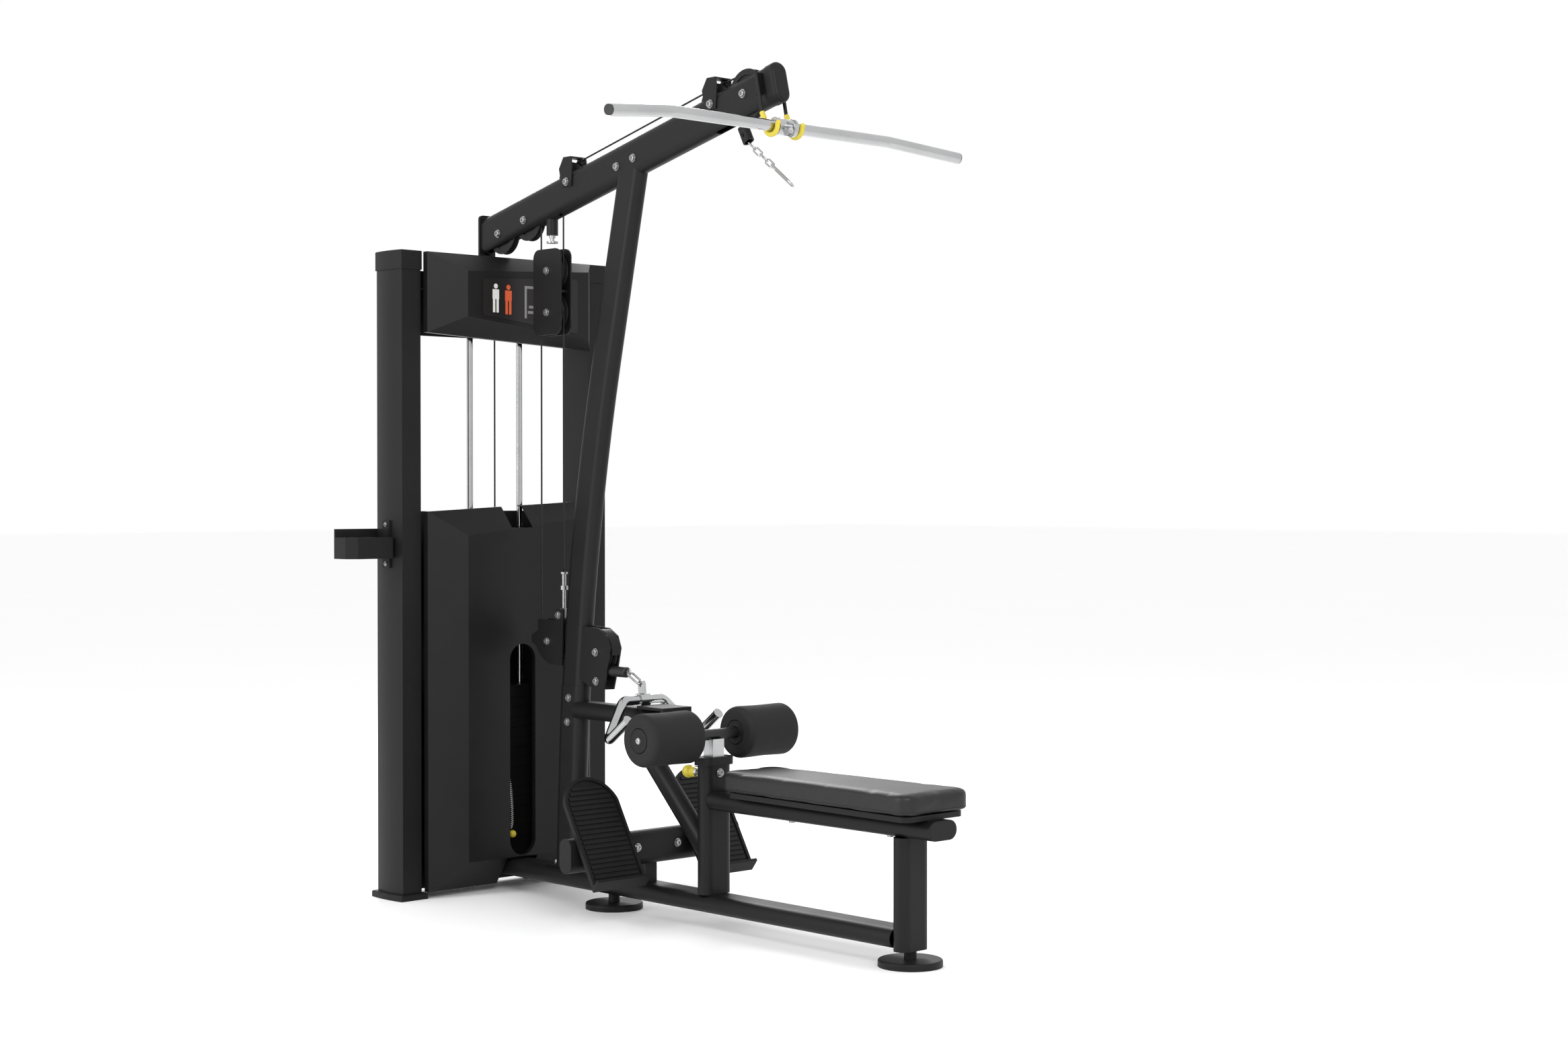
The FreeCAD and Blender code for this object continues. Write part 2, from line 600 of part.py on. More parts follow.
# --- boom ------------------------------------------------------------------------------------
def make_boom():
    lead = 40.0
    start = V(0, BOOM_BACK + lead, boom_z(BOOM_BACK + lead))
    end = V(0, BOOM_FRONT, boom_z(BOOM_FRONT))
    upright = boom_upright()
    boom = oval_tube(start, end, upright, BOOM_H, TUBE_S)
    boom = boom.cut(box(-60, 60, BOOM_BACK, BOOM_BACK + 2 * lead, 0, 2 * TOWER_H))
    gap = PULLEY_T / 2.0 + 3.0

    def opening(y0, y1, top):
        z = boom_z((y0 + y1) / 2.0)
        return box(-gap, gap, y0, y1, z if top else z - 200.0, z + 200.0 if top else z)

    boom = boom.cut(opening(MID_PULLEY[0] - PULLEY_R - 6, BOOM_BACK - 14.0, False))
    boom = boom.cut(opening(RISE_Y - 8.0, RISE_Y + 8.0, False))
    for centre in (GUIDE_A, GUIDE_B):
        boom = boom.cut(opening(centre[0] - GUIDE_R - 6.5, centre[0] + GUIDE_R + 6.5, True))
    boom = boom.cut(opening(FRONT_PULLEY[0] - 58.0, FRONT_PULLEY[0] + 66.0, True))
    boom = boom.cut(opening(FRONT_PULLEY[0] - 58.0, FRONT_PULLEY[0] + 120.0, False))
    for y, z in (REAR_PULLEY, MID_PULLEY, GUIDE_A, GUIDE_B, FRONT_PULLEY):
        boom = boom.cut(across(-30, 30, y, z, AXLE_R))
    keep("boom", boom)

    plate_z = TOWER_H - CAP_H - BEAM_H
    half = TUBE_S / 2.0 + 4.0
    z_top = boom_z(BOOM_BACK) + BOOM_H / 2.0 + 10.0
    plate = box(-half, half, BOOM_BACK, BOOM_BACK + 8.0, plate_z, z_top)
    corners = [e for e in plate.Edges if e.BoundBox.YLength > 7.9 and e.BoundBox.ZMin > z_top - 1]
    keep("boom", plate.makeFillet(12.0, corners))

    tip = V(0, BOOM_FRONT, boom_z(BOOM_FRONT))
    ahead = V(0, -upright.z, upright.y)
    neck = oval_bar(tip, tip + ahead * 14.0, upright, BOOM_H, TUBE_S)
    nose = oval_bar(tip + ahead * 14.0, tip + ahead * 50.0, upright, BOOM_H + 4.0, TUBE_S + 6.0)
    far = tip + ahead * 50.0
    rim = [e for e in nose.Edges if abs((e.CenterOfMass - far).dot(ahead)) < 0.5]
    keep("tube_end_caps", neck.fuse(nose.makeFillet(12.0, rim)))

    stop = V(0, BLOCK_Y, boom_z(BLOCK_Y) - BOOM_H / 2.0 - 3.0)
    post_z = TOWER_H + 50.0
    post = cyl(V(0, BLOCK_Y, post_z), Z_AXIS, 17.0, stop.z + 8.0 - post_z)
    below = oval_bar(V(0, BOOM_BACK, boom_z(BOOM_BACK)), end, upright, BOOM_H, TUBE_S)
    keep("boom", post.cut(below))
    foot = cyl(V(0, BLOCK_Y, post_z), V(0, 0, -1), 9.0, 8.0)
    foot = foot.fuse(cyl(V(0, BLOCK_Y, post_z - 8.0), V(0, 0, -1), 6.0, 10.0))
    foot = foot.fuse(cyl(V(0, BLOCK_Y, post_z - 18.0), V(0, 0, -1), 17.0, 5.0))
    keep("frame_bolts", foot)


def make_guard(centre):
    """A bent sheet guard over a guide pulley: two cheeks outside the boom and a folded top."""
    y, z = centre
    inner = TUBE_S / 2.0
    cheek = [(y - 22, z - 14), (y + 22, z - 14), (y + 34, z + 40), (y + 14, z + 72), (y - 20, z + 72),
             (y - 26, z + 40)]
    left = plate_yz(cheek, -inner - 4.0, 4.0)
    right = plate_yz(cheek, inner, 4.0)
    top = box(-inner - 4.0, inner + 4.0, y - 20, y + 14, z + 68, z + 72)
    keep("guide_guards", left.fuse(right).fuse(top).cut(across(-40, 40, y, z, AXLE_R)))


# --- mast ------------------------------------------------------------------------------------
def mast_body(grow, wall=0.0):
    """Solid mast outline: a straight foot, a long bend and a straight top, all in X = 0.

    grow is the extra size on every side, and wall takes the tube's thickness off again.
    """
    long_size = TUBE_L + 2 * (grow - wall)
    short_size = TUBE_S + 2 * (grow - wall)
    over = 20.0
    foot = V(0, MAST_FOOT_Y, BEAM_Z + BEAM_H)
    top = V(0, MAST_TOP[0], MAST_TOP[1])
    up_low = V(0, -MAST_LEAN, 1).normalize()
    up_high = V(0, -MAST_TOP_LEAN, 1).normalize()
    # the corner where the two straight parts would meet
    t = ((top.y - foot.y) + MAST_TOP_LEAN * (top.z - foot.z)) / (MAST_TOP_LEAN - MAST_LEAN)
    corner = V(0, foot.y - MAST_LEAN * t, foot.z + t)
    half_turn = up_low.getAngle(up_high) / 2.0
    reach = MAST_R * math.tan(half_turn)
    a = corner - up_low * reach
    b = corner + up_high * reach
    bend = corner + (up_high - up_low).normalize() * (MAST_R / math.cos(half_turn) - MAST_R)
    across_low = V(0, -1, -MAST_LEAN).normalize()
    across_high = V(0, -1, -MAST_TOP_LEAN).normalize()
    low = oval_bar(foot - up_low * over, a, across_low, long_size, short_size)
    profile = oval_wire(a, across_low, X_AXIS, long_size, short_size)
    bent = Part.Wire([Part.Arc(a, bend, b).toShape()]).makePipeShell([profile], True, False)
    high = oval_bar(b, top + up_high * 60.0, across_high, long_size, short_size)
    below = box(-100, 100, foot.y - 200, foot.y + 200, -100, foot.z)
    return low.fuse(bent).fuse(high).cut(below)


def make_mast():
    foot_z = BEAM_Z + BEAM_H
    core = mast_body(0.0)
    above = box(-100, 100, MAST_TOP[0] - 200, 0, MAST_SEAM_Z, MAST_TOP[1] + 300)
    sleeve = mast_body(SLEEVE_T).cut(core).cut(above)
    keep("mast", sleeve)

    shape = core.cut(mast_body(0.0, TUBE_WALL))
    back, front = V(0, 0, boom_z(0)), V(0, BOOM_FRONT, boom_z(BOOM_FRONT))
    shape = shape.cut(oval_bar(back, front, boom_upright(), BOOM_H, TUBE_S + 0.01))
    y, z = MAST_TOP
    shape = shape.cut(box(-60, 60, y - 300, y + 300, boom_z(y), z + 300))
    # the row cable passes through the mast, and the front low wheel reaches into it
    low, high = ROW_Z - 12, REAR_LOW[1] - CABLE_BEND + 12
    channel = box(-9, 9, FRONT_LOW[0], REAR_LOW[0], low, high)
    wheel = across(-PULLEY_T / 2.0 - 3.0, PULLEY_T / 2.0 + 3.0, *FRONT_LOW, PULLEY_R + 5.0)
    shape = shape.cut(channel).cut(wheel)
    keep("mast", largest(shape))

    flange = box(-24, 24, MAST_FOOT_Y - 78, MAST_FOOT_Y + 78, foot_z, foot_z + 8.0)
    keep("mast", *flange.cut(mast_body(SLEEVE_T)).Solids)
    heads = []
    for y, z in ((-329.0, 591.0), (-323.0, 520.5)):
        heads += bolt_pair(y, z, TUBE_S / 2.0 + SLEEVE_T)
    for y in (MAST_FOOT_Y - 65.0, MAST_FOOT_Y + 64.0):
        heads.append(hex_bolt(V(0, y, foot_z + 8.0), Z_AXIS))
    keep("frame_bolts", *heads)


# --- floating double pulley block ------------------------------------------------------------
def make_block():
    """Two cheeks with a wheel above and a wheel below, bolted through and held apart by spacers."""
    y0, y1 = BLOCK_Y - BLOCK_W / 2.0, BLOCK_Y + BLOCK_W / 2.0
    for side in (-1, 1):
        x0 = CHEEK_IN if side > 0 else -CHEEK_IN - CHEEK_T
        slab = box(x0, x0 + CHEEK_T, y0, y1, BLOCK_Z[0], BLOCK_Z[1])
        corners = [e for e in slab.Edges if e.BoundBox.XLength > CHEEK_T - 0.1]
        slab = slab.makeFillet(BLOCK_CORNER, corners)
        for y, z in (BLOCK_UPPER, BLOCK_LOWER):
            slab = slab.cut(across(x0, x0 + CHEEK_T, y, z, AXLE_R))
        keep("block_plates", slab)
    reach = CHEEK_IN + CHEEK_T
    for y, z in (BLOCK_UPPER, BLOCK_LOWER):
        keep("block_bolts", across(-reach, reach, y, z, AXLE_R), *bolt_pair(y, z, reach))
    middle = (BLOCK_UPPER[1] + BLOCK_LOWER[1]) / 2.0
    for y in (BLOCK_Y - SPACER_Y, BLOCK_Y + SPACER_Y):
        keep("block_plates", across(-CHEEK_IN, CHEEK_IN, y, middle, 5.0))


# --- low pulley brackets and cable adjuster --------------------------------------------------
def mast_back(z):
    """Rear face of the mast tube at a height near the low pulleys."""
    return MAST_FOOT_Y - MAST_LEAN * (z - BEAM_Z - BEAM_H) + TUBE_L / 2.0


def make_low_brackets():
    # sides end inside the round of the mast, clear of its flat faces
    tuck = 12.0
    rear = [(-177, 814), (-176, 780), (-146, 766), (-146, 746), (-166, 736), (-196, 700), (-230, 684),
            (mast_back(684) - tuck, 682), (mast_back(845) - tuck, 845), (-262, 845), (-258, 813)]
    front_z = (801.0, 650.0)
    fore = [(mast_back(front_z[0]) - TUBE_L + tuck, 801), (-460, 797), (-498, 776), (-512, 742), (-500, 690),
            (-480, 622), (-446, 619), (mast_back(front_z[1]) - TUBE_L + tuck, 650)]
    mast = mast_body(0.0)
    for outline, holes in ((rear, (REAR_LOW, (RISE_Y, ADJUSTER_Z[0]))),
                           (fore, (FRONT_LOW, LOW_BOLT))):
        cheeks = []
        for x0 in (-CHEEK_IN - CHEEK_T, CHEEK_IN):
            cheek = plate_yz(outline, x0, CHEEK_T)
            cheek = cheek.cut(mast)
            for y, z in holes:
                cheek = cheek.cut(across(x0, x0 + CHEEK_T, y, z, AXLE_R))
            cheeks.append(cheek)
        keep("low_brackets", *cheeks)
    reach = CHEEK_IN + CHEEK_T
    pins = [REAR_LOW, (RISE_Y, ADJUSTER_Z[0]), FRONT_LOW, LOW_BOLT]
    keep("pulley_axles", *[across(-reach, reach, y, z, AXLE_R) for y, z in pins])
    keep("pulley_axles", across(-CHEEK_IN, CHEEK_IN, *KEEPER, KEEPER_R))
    heads = []
    for y, z in pins:
        heads += bolt_pair(y, z, reach)
    keep("frame_bolts", *heads)
    # curved guard that keeps the row cable on the front wheel
    y, z = FRONT_LOW
    outer = arc_points(y, z, PULLEY_R + 9.0, 105, 185)
    inner = arc_points(y, z, PULLEY_R + 6.0, 105, 185)
    edges = [Part.Arc(*outer).toShape(), line(outer[2], inner[2]), Part.Arc(*inner).toShape(),
             line(inner[0], outer[0])]
    guard = Part.Face(Part.Wire(Part.__sortEdges__(edges))).extrude(V(2 * CHEEK_IN - 1.0, 0, 0))
    guard.translate(V(-CHEEK_IN + 0.5, 0, 0))
    keep("low_brackets", guard)


def make_adjuster():
    y = RISE_Y
    z0, z1 = ADJUSTER_Z
    lug = box(-6, 6, y - 9, y + 9, z0 - 9, z0 + 20).cut(across(-6, 6, y, z0, AXLE_R + AXLE_GAP))
    shaft = cyl(V(0, y, z0 + 20), Z_AXIS, 5.5, z1 - z0 - 60)
    nut = cyl(V(0, y, z1 - 52), Z_AXIS, 12.0, 12.0)
    sleeve = cyl(V(0, y, z1 - 40), Z_AXIS, 6.5, 34.0)
    flange = cyl(V(0, y, z1 - 6), Z_AXIS, 11.0, 6.0)
    keep("cable_adjuster", lug.fuse(shaft).fuse(nut).fuse(sleeve).fuse(flange))


# --- cables ----------------------------------------------------------------------------------
def tangent_angle(frm, to, r_from, r_to):
    """Angle of the touching radius for a line over the top of two wheels, towards -Y."""
    dy, dz = to[0] - frm[0], to[1] - frm[1]
    heading = math.atan2(dz, dy)
    lift = math.asin((r_to - r_from) / math.hypot(dy, dz))
    return math.degrees(heading - math.pi / 2.0 - lift) % 360.0


def rim_point(centre, radius, angle):
    t = math.radians(angle)
    return V(0, centre[0] + radius * math.cos(t), centre[1] + radius * math.sin(t))


def wrap(centre, radius, a0, a1):
    middle = rim_point(centre, radius, (a0 + a1) / 2.0)
    return Part.Arc(rim_point(centre, radius, a0), middle, rim_point(centre, radius, a1)).toShape()


def make_cables():
    """Both cables: the stretches over wheels, and the straight runs that change length."""
    r = CABLE_BEND
    front_r = FRONT_PULLEY_R - GROOVE
    keep("cable_stack_run", cyl(V(0, STACK_Y, STACK_TOP + STUD_H), Z_AXIS, CABLE_R,
                                REAR_PULLEY[1] - STACK_TOP - STUD_H))
    a = tangent_angle(REAR_PULLEY, MID_PULLEY, r, r)
    over = Part.Wire([wrap(REAR_PULLEY, r, 0, a),
                      line(rim_point(REAR_PULLEY, r, a), rim_point(MID_PULLEY, r, a)),
                      wrap(MID_PULLEY, r, a, 180)])
    keep("cables_over_pulleys", sweep(over, CABLE_R))
    run = MID_PULLEY[1] - BLOCK_UPPER[1]
    keep("cable_upper_runs", *[cyl(V(0, y, BLOCK_UPPER[1]), Z_AXIS, CABLE_R, run) for y in (DROP_Y, RISE_Y)])
    keep("cables_over_pulleys", cyl(V(0, RISE_Y, MID_PULLEY[1]), Z_AXIS, CABLE_R, GUIDE_A[1] - MID_PULLEY[1]))
    keep("cable_block_wraps", sweep(Part.Wire([wrap(BLOCK_UPPER, r, 0, -180)]), CABLE_R),
         sweep(Part.Wire([wrap(BLOCK_LOWER, r, 0, 180)]), CABLE_R))
    guide_r = GUIDE_R - GROOVE
    b = tangent_angle(GUIDE_A, GUIDE_B, guide_r, guide_r)
    c = tangent_angle(GUIDE_B, FRONT_PULLEY, guide_r, front_r)
    exit_angle = stopper_tangent()
    over = Part.Wire([wrap(GUIDE_A, guide_r, 0, b),
                      line(rim_point(GUIDE_A, guide_r, b), rim_point(GUIDE_B, guide_r, b)),
                      wrap(GUIDE_B, guide_r, b, c),
                      line(rim_point(GUIDE_B, guide_r, c), rim_point(FRONT_PULLEY, front_r, c)),
                      wrap(FRONT_PULLEY, front_r, c, exit_angle)])
    keep("cables_over_pulleys", sweep(over, CABLE_R))
    leave = rim_point(FRONT_PULLEY, front_r, exit_angle)
    run = STOPPER_TOP - leave
    keep("cable_lat_run", cyl(leave, run, CABLE_R, run.Length).cut(stopper_block()))

    run = BLOCK_LOWER[1] - ADJUSTER_Z[1]
    keep("cable_lower_runs", *[cyl(V(0, y, ADJUSTER_Z[1]), Z_AXIS, CABLE_R, run) for y in (DROP_Y, RISE_Y)])
    keep("cables_over_pulleys", cyl(V(0, DROP_Y, REAR_LOW[1]), Z_AXIS, CABLE_R, ADJUSTER_Z[1] - REAR_LOW[1]))
    heading = math.atan2(FRONT_LOW[1] - REAR_LOW[1], FRONT_LOW[0] - REAR_LOW[0])
    under = math.degrees(heading) % 360 - 270.0
    low = Part.Wire([wrap(REAR_LOW, r, 0, under),
                     line(rim_point(REAR_LOW, r, under), rim_point(FRONT_LOW, r, under)),
                     wrap(FRONT_LOW, r, under, -90)])
    keep("cables_over_pulleys", sweep(low, CABLE_R))
    start = rim_point(FRONT_LOW, r, -90)
    keep("cable_row_run", cyl(start, V(0, -1, 0), CABLE_R, start.y - ROW_STOP[0]))


def stopper_tangent():
    """Angle on the front wheel where a line to the lat stopper touches it, on the bench side."""
    radius = FRONT_PULLEY_R - GROOVE
    dy, dz = STOPPER_TOP.y - FRONT_PULLEY[0], STOPPER_TOP.z - FRONT_PULLEY[1]
    away = math.hypot(dy, dz)
    return math.degrees(math.atan2(dz, dy) - math.acos(radius / away)) % 360.0


# --- lat cable end, chain, hooks and bar -----------------------------------------------------
def link(at, direction, sideways):
    """One chain link: a closed oval ring of round wire."""
    return ring(oval_wire(at, direction, sideways, LINK_L, LINK_WIDTH), LINK_WIRE)


def ring(path, wire_r):
    """Round wire along a closed path."""
    start = path.Edges[0]
    point = start.valueAt(start.FirstParameter)
    profile = Part.Wire([Part.makeCircle(wire_r, point, start.tangentAt(start.FirstParameter))])
    return path.makePipeShell([profile], True, False)


def make_snap_hook(name, at, direction, length, sideways):
    """A snap hook: a closed oval of thick wire, from the centre of one end bow to the other."""
    path = oval_wire(at + direction * (length / 2.0), direction, sideways, length, SNAP_W)
    keep(name, ring(path, SNAP_WIRE))


def stopper_block():
    """The solid outline of the block at the cable's end."""
    d = STOPPER_DIR
    return oval_bar(STOPPER_TOP, STOPPER_TOP + d * STOPPER_L, V(0, d.z, -d.y), STOPPER_DEEP, STOPPER_WIDE)


def make_lat_end():
    """The stop block on the cable's end, hollow below, then the chain and its snap hook."""
    d = STOPPER_DIR
    wall = 4.0
    deep, wide = STOPPER_DEEP - 2 * wall, STOPPER_WIDE - 2 * wall
    mouth = STOPPER_TOP + d * (STOPPER_L + wall)
    socket = oval_bar(STOPPER_TOP + d * (STOPPER_L - 14.0), mouth, V(0, d.z, -d.y), deep, wide)
    keep("lat_stopper", stopper_block().cut(socket))
    for s in (-1, 1):
        at = STOPPER_TOP + d * 26.0 + V(s * STOPPER_WIDE / 2.0, 0, 0)
        keep("lat_stopper", hex_bolt(at, V(s, 0, 0), 4.5, 2.5, 5.0))
    side = CHAIN_DIR.cross(X_AXIS).normalize()
    twist = math.radians(CHAIN_TWIST)
    even = X_AXIS * math.cos(twist) - side * math.sin(twist)
    odd = X_AXIS * math.sin(twist) + side * math.cos(twist)
    for i in range(LINKS):
        middle = CHAIN_TOP + CHAIN_DIR * (LINK_PITCH * (i + 0.5))
        keep("lat_chain", link(middle, CHAIN_DIR, odd if i % 2 else even))
    reach = LINK_PITCH * (LINKS - 0.5) + LINK_L / 2.0 - LINK_WIRE - SNAP_WIRE - RUN_GAP
    make_snap_hook("lat_chain", CHAIN_TOP + CHAIN_DIR * reach, CHAIN_DIR, LAT_SNAP_L, even)


def make_hooks():
    """Two hooks beside the boom's nose: a rod from a bracket, and a dipped coat round its U."""
    for side in (-1, 1):
        x = side * HOOK_X
        top = V(x, *HOOK_TOP)
        near = BAR_Y + HOOK_R
        collar = V(x, near + 14.0, BAR_Z + 39.0)

        arc = arc_points(BAR_Y, BAR_Z, HOOK_R, 0, -180, x)
        knee = V(x, near, BAR_Z + 12.0)
        bow = Part.Wire([line(knee, arc[0]), Part.Arc(*arc).toShape()])
        coat = sweep(bow, COAT_R)
        coat = coat.fuse(cyl(collar, knee - collar, COAT_R, (knee - collar).Length))
        tip = V(0, -5.0, 12.0).normalize() * 6.0
        coat = coat.fuse(cyl(arc[2], tip, COAT_R, tip.Length))
        for joint in (knee, arc[2], arc[2] + tip):
            coat = coat.fuse(Part.makeSphere(COAT_R, joint))
        keep("hook_coats", coat)

        stem = cyl(top, collar - top, HOOK_ROD_R, (collar - top).Length).cut(coat)
        keep("bar_hooks", stem)
        x0, x1 = sorted((side * TUBE_S / 2.0, side * (HOOK_X - 2.0)))
        arm = box(x0, x1, top.y - 6.0, top.y + 6.0, top.z - 60.0, top.z - 4.0)
        keep("bar_hooks", arm.cut(stem))


def make_lat_bar():
    reach, dy, dz = BAR_END
    ends = [V(-reach, BAR_Y + dy, BAR_Z + dz), V(-BAR_BEND_X, BAR_Y, BAR_Z), V(BAR_BEND_X, BAR_Y, BAR_Z),
            V(reach, BAR_Y + dy, BAR_Z + dz)]
    keep("lat_bar", rod(ends, [90.0, 90.0], BAR_R))
    for end, bend in ((ends[0], ends[1]), (ends[3], ends[2])):
        keep("lat_bar", cyl(end, end - bend, BAR_R - 1.0, 2.5))
    half = 33.0
    sleeve = across(-half, half, BAR_Y, BAR_Z, BAR_R + 6.0)
    for x0 in (-half, half - 8.0):
        sleeve = sleeve.fuse(across(x0, x0 + 8.0, BAR_Y, BAR_Z, BAR_R + 8.5))
    tab_dir = V(0, -0.93, -0.36).normalize()
    start = V(-6, BAR_Y, BAR_Z)
    middle = start + tab_dir * 18.0
    tab = oval_bar(middle, middle + V(12, 0, 0), tab_dir, 68.0, 36.0)
    hole = start + tab_dir * 36.0
    sleeve = sleeve.fuse(tab).cut(cyl(hole, X_AXIS, 9.0, 12.0))
    keep("lat_bar_sleeve", sleeve.cut(across(-half, half, BAR_Y, BAR_Z, BAR_R + BORE_FIT)))


# --- row handle ------------------------------------------------------------------------------
def make_row_end():
    """The row cable's stop with its eye, and the snap hook down to the handle."""
    start, end = ROW_STOP
    body = cyl(V(0, start, ROW_Z), V(0, -1, 0), ROW_STOP_R, start - end)
    rims = [e for e in body.Edges if e.Curve.TypeId == "Part::GeomCircle"]
    eye_r = 8.0
    eye_y = end - 7.0
    eye = Part.makeTorus(eye_r, LINK_WIRE, V(0, eye_y, ROW_Z), X_AXIS)
    keep("row_cable_end", body.makeChamfer(2.0, rims).fuse(eye))
    at = V(0, eye_y - eye_r + LINK_WIRE + SNAP_WIRE + 2.0, ROW_Z)
    reach = EYE - at
    length = reach.Length - LINK_WIRE
    make_snap_hook("row_cable_end", at, reach.normalize(), length, X_AXIS)


def make_row_handle():
    """A bent handle with two slanting grips, and the swivel sleeve and tab on its middle."""
    corner = V(GRIP_X, *GRIP_CORNER)
    right = [corner + GRIP_DIR * GRIP_L, corner, V(HANDLE_HALF, YOKE_Y, YOKE_Z)]
    left = [V(-p.x, p.y, p.z) for p in reversed(right)]
    keep("row_handle", rod(right + left, [20.0, 34.0, 34.0, 20.0], HANDLE_R))
    for tip in (right[0], left[-1]):
        keep("row_handle", cyl(tip, GRIP_DIR, HANDLE_R + 1.0, 5.0))

    sleeve = across(-YOKE_HALF, YOKE_HALF, YOKE_Y, YOKE_Z, HANDLE_R + 4.5)
    low = V(0, YOKE_Y, YOKE_Z)
    middle = (low + EYE) * 0.5
    half = V(4, 0, 0)
    width = 26.0
    tab = oval_bar(middle - half, middle + half, (EYE - low).normalize(), (EYE - low).Length + width, width)
    sleeve = sleeve.fuse(tab).cut(across(-6, 6, EYE.y, EYE.z, 7.0))
    bore = across(-YOKE_HALF, YOKE_HALF, YOKE_Y, YOKE_Z, HANDLE_R + BORE_FIT)
    keep("row_handle_yoke", sleeve.cut(bore))


# --- base and bench --------------------------------------------------------------------------
def make_base():
    z = BEAM_Z + BEAM_H / 2.0
    back = STACK_Y - BEAM_D / 2.0
    rail_start = STACK_Y - PLATE_D / 2.0 - 6.0
    rail_end = REAR_POST_Y + TUBE_S / 2.0
    rail = oval_tube(V(0, rail_start, z), V(0, rail_end, z), X_AXIS, TUBE_L, TUBE_S)
    tongue = box(-TUBE_L / 4.0, TUBE_L / 4.0, rail_start - 30.0, back, BEAM_Z, CROSS_BEAM_Z[1])
    keep("base_rail", rail.fuse(tongue))
    for y, top in ((MID_FOOT_Y, BEAM_Z), (REAR_POST_Y, BEAM_Z - 4.0)):
        disc = cyl(V(0, y, 0), Z_AXIS, FOOT_R, FOOT_T)
        rim = [e for e in disc.Edges if abs(e.BoundBox.ZMin - FOOT_T) < 0.01]
        disc = disc.makeFillet(5.0, rim)
        keep("feet", disc)
        keep("feet", cyl(V(0, y, FOOT_T), Z_AXIS, 16.0, top - FOOT_T))


def make_bench():
    z0 = BEAM_Z + BEAM_H
    front = oval_tube(V(0, FRONT_POST_Y, z0), V(0, FRONT_POST_Y, POST_TOP), X_AXIS, TUBE_L, TUBE_S)
    front = front.cut(cyl(V(0, FRONT_POST_Y, POP_PIN[2]), Y_AXIS, 9.0, TUBE_S))
    keep("seat_frame", front)
    rear = oval_tube(V(0, REAR_POST_Y, BEAM_Z - 4.0), V(0, REAR_POST_Y, SEAT_RAIL_Z), X_AXIS, TUBE_L, TUBE_S)
    keep("seat_frame", rear)
    rail_z = SEAT_RAIL_Z + TUBE_S / 2.0
    rail_start = FRONT_POST_Y - TUBE_S / 2.0
    keep("seat_frame", oval_tube(V(0, rail_start, rail_z), V(0, SEAT_RAIL_END, rail_z), X_AXIS, TUBE_L, TUBE_S))
    cap = oval_bar(V(0, SEAT_RAIL_END, rail_z), V(0, SEAT_RAIL_END - 6.0, rail_z), X_AXIS, TUBE_L, TUBE_S)
    rim = [e for e in cap.Edges if abs(e.CenterOfMass.y - (SEAT_RAIL_END - 6.0)) < 0.01]
    keep("tube_end_caps", cap.makeFillet(3.0, rim))

    top = SEAT_RAIL_Z + TUBE_S
    keep("seat_frame", pad_block(BOARD_INSET, top, top + BOARD_T))
    keep("seat_pad", pad_block(0.0, top + BOARD_T, top + BOARD_T + PAD_T, PAD_EDGE_R))
    bolts = [hex_bolt(V(0, y, SEAT_RAIL_Z), V(0, 0, -1)) for y in (-1240.0, -1600.0)]
    bolts.append(hex_bolt(V(0, rail_start, 424.0), V(0, -1, 0)))
    keep("frame_bolts", *bolts)

    collar = box(-56, 56, FRONT_POST_Y - 31, FRONT_POST_Y + 31, POST_TOP, POST_TOP + COLLAR_H)
    sides = [e for e in collar.Edges if e.BoundBox.ZLength > COLLAR_H - 0.1]
    collar = collar.makeFillet(24.0, sides)
    inner = INNER_TUBE / 2.0 + 0.3
    back, front = FRONT_POST_Y - inner, FRONT_POST_Y + inner
    collar = collar.cut(box(-inner, inner, back, front, POST_TOP, POST_TOP + COLLAR_H))
    keep("tube_end_caps", collar)


def pad_block(inset, z0, z1, fillet=0.0):
    """The seat's outline: wider at the back, with round corners."""
    y0, y1 = PAD_FRONT_Y - inset, PAD_BACK_Y + inset
    f, b = PAD_FRONT_W - inset, PAD_BACK_W - inset
    block = prism([V(-f, y0, z0), V(f, y0, z0), V(b, y1, z0), V(-b, y1, z0)], V(0, 0, z1 - z0))
    uprights = [e for e in block.Edges if e.BoundBox.ZLength > (z1 - z0) - 0.1 and e.BoundBox.YLength < 1]
    block = block.makeFillet(PAD_CORNER_R - inset, uprights)
    if fillet:
        rim = [e for e in block.Edges if abs(e.BoundBox.ZMin - z1) < 0.01]
        block = block.makeFillet(fillet, rim)
    return block


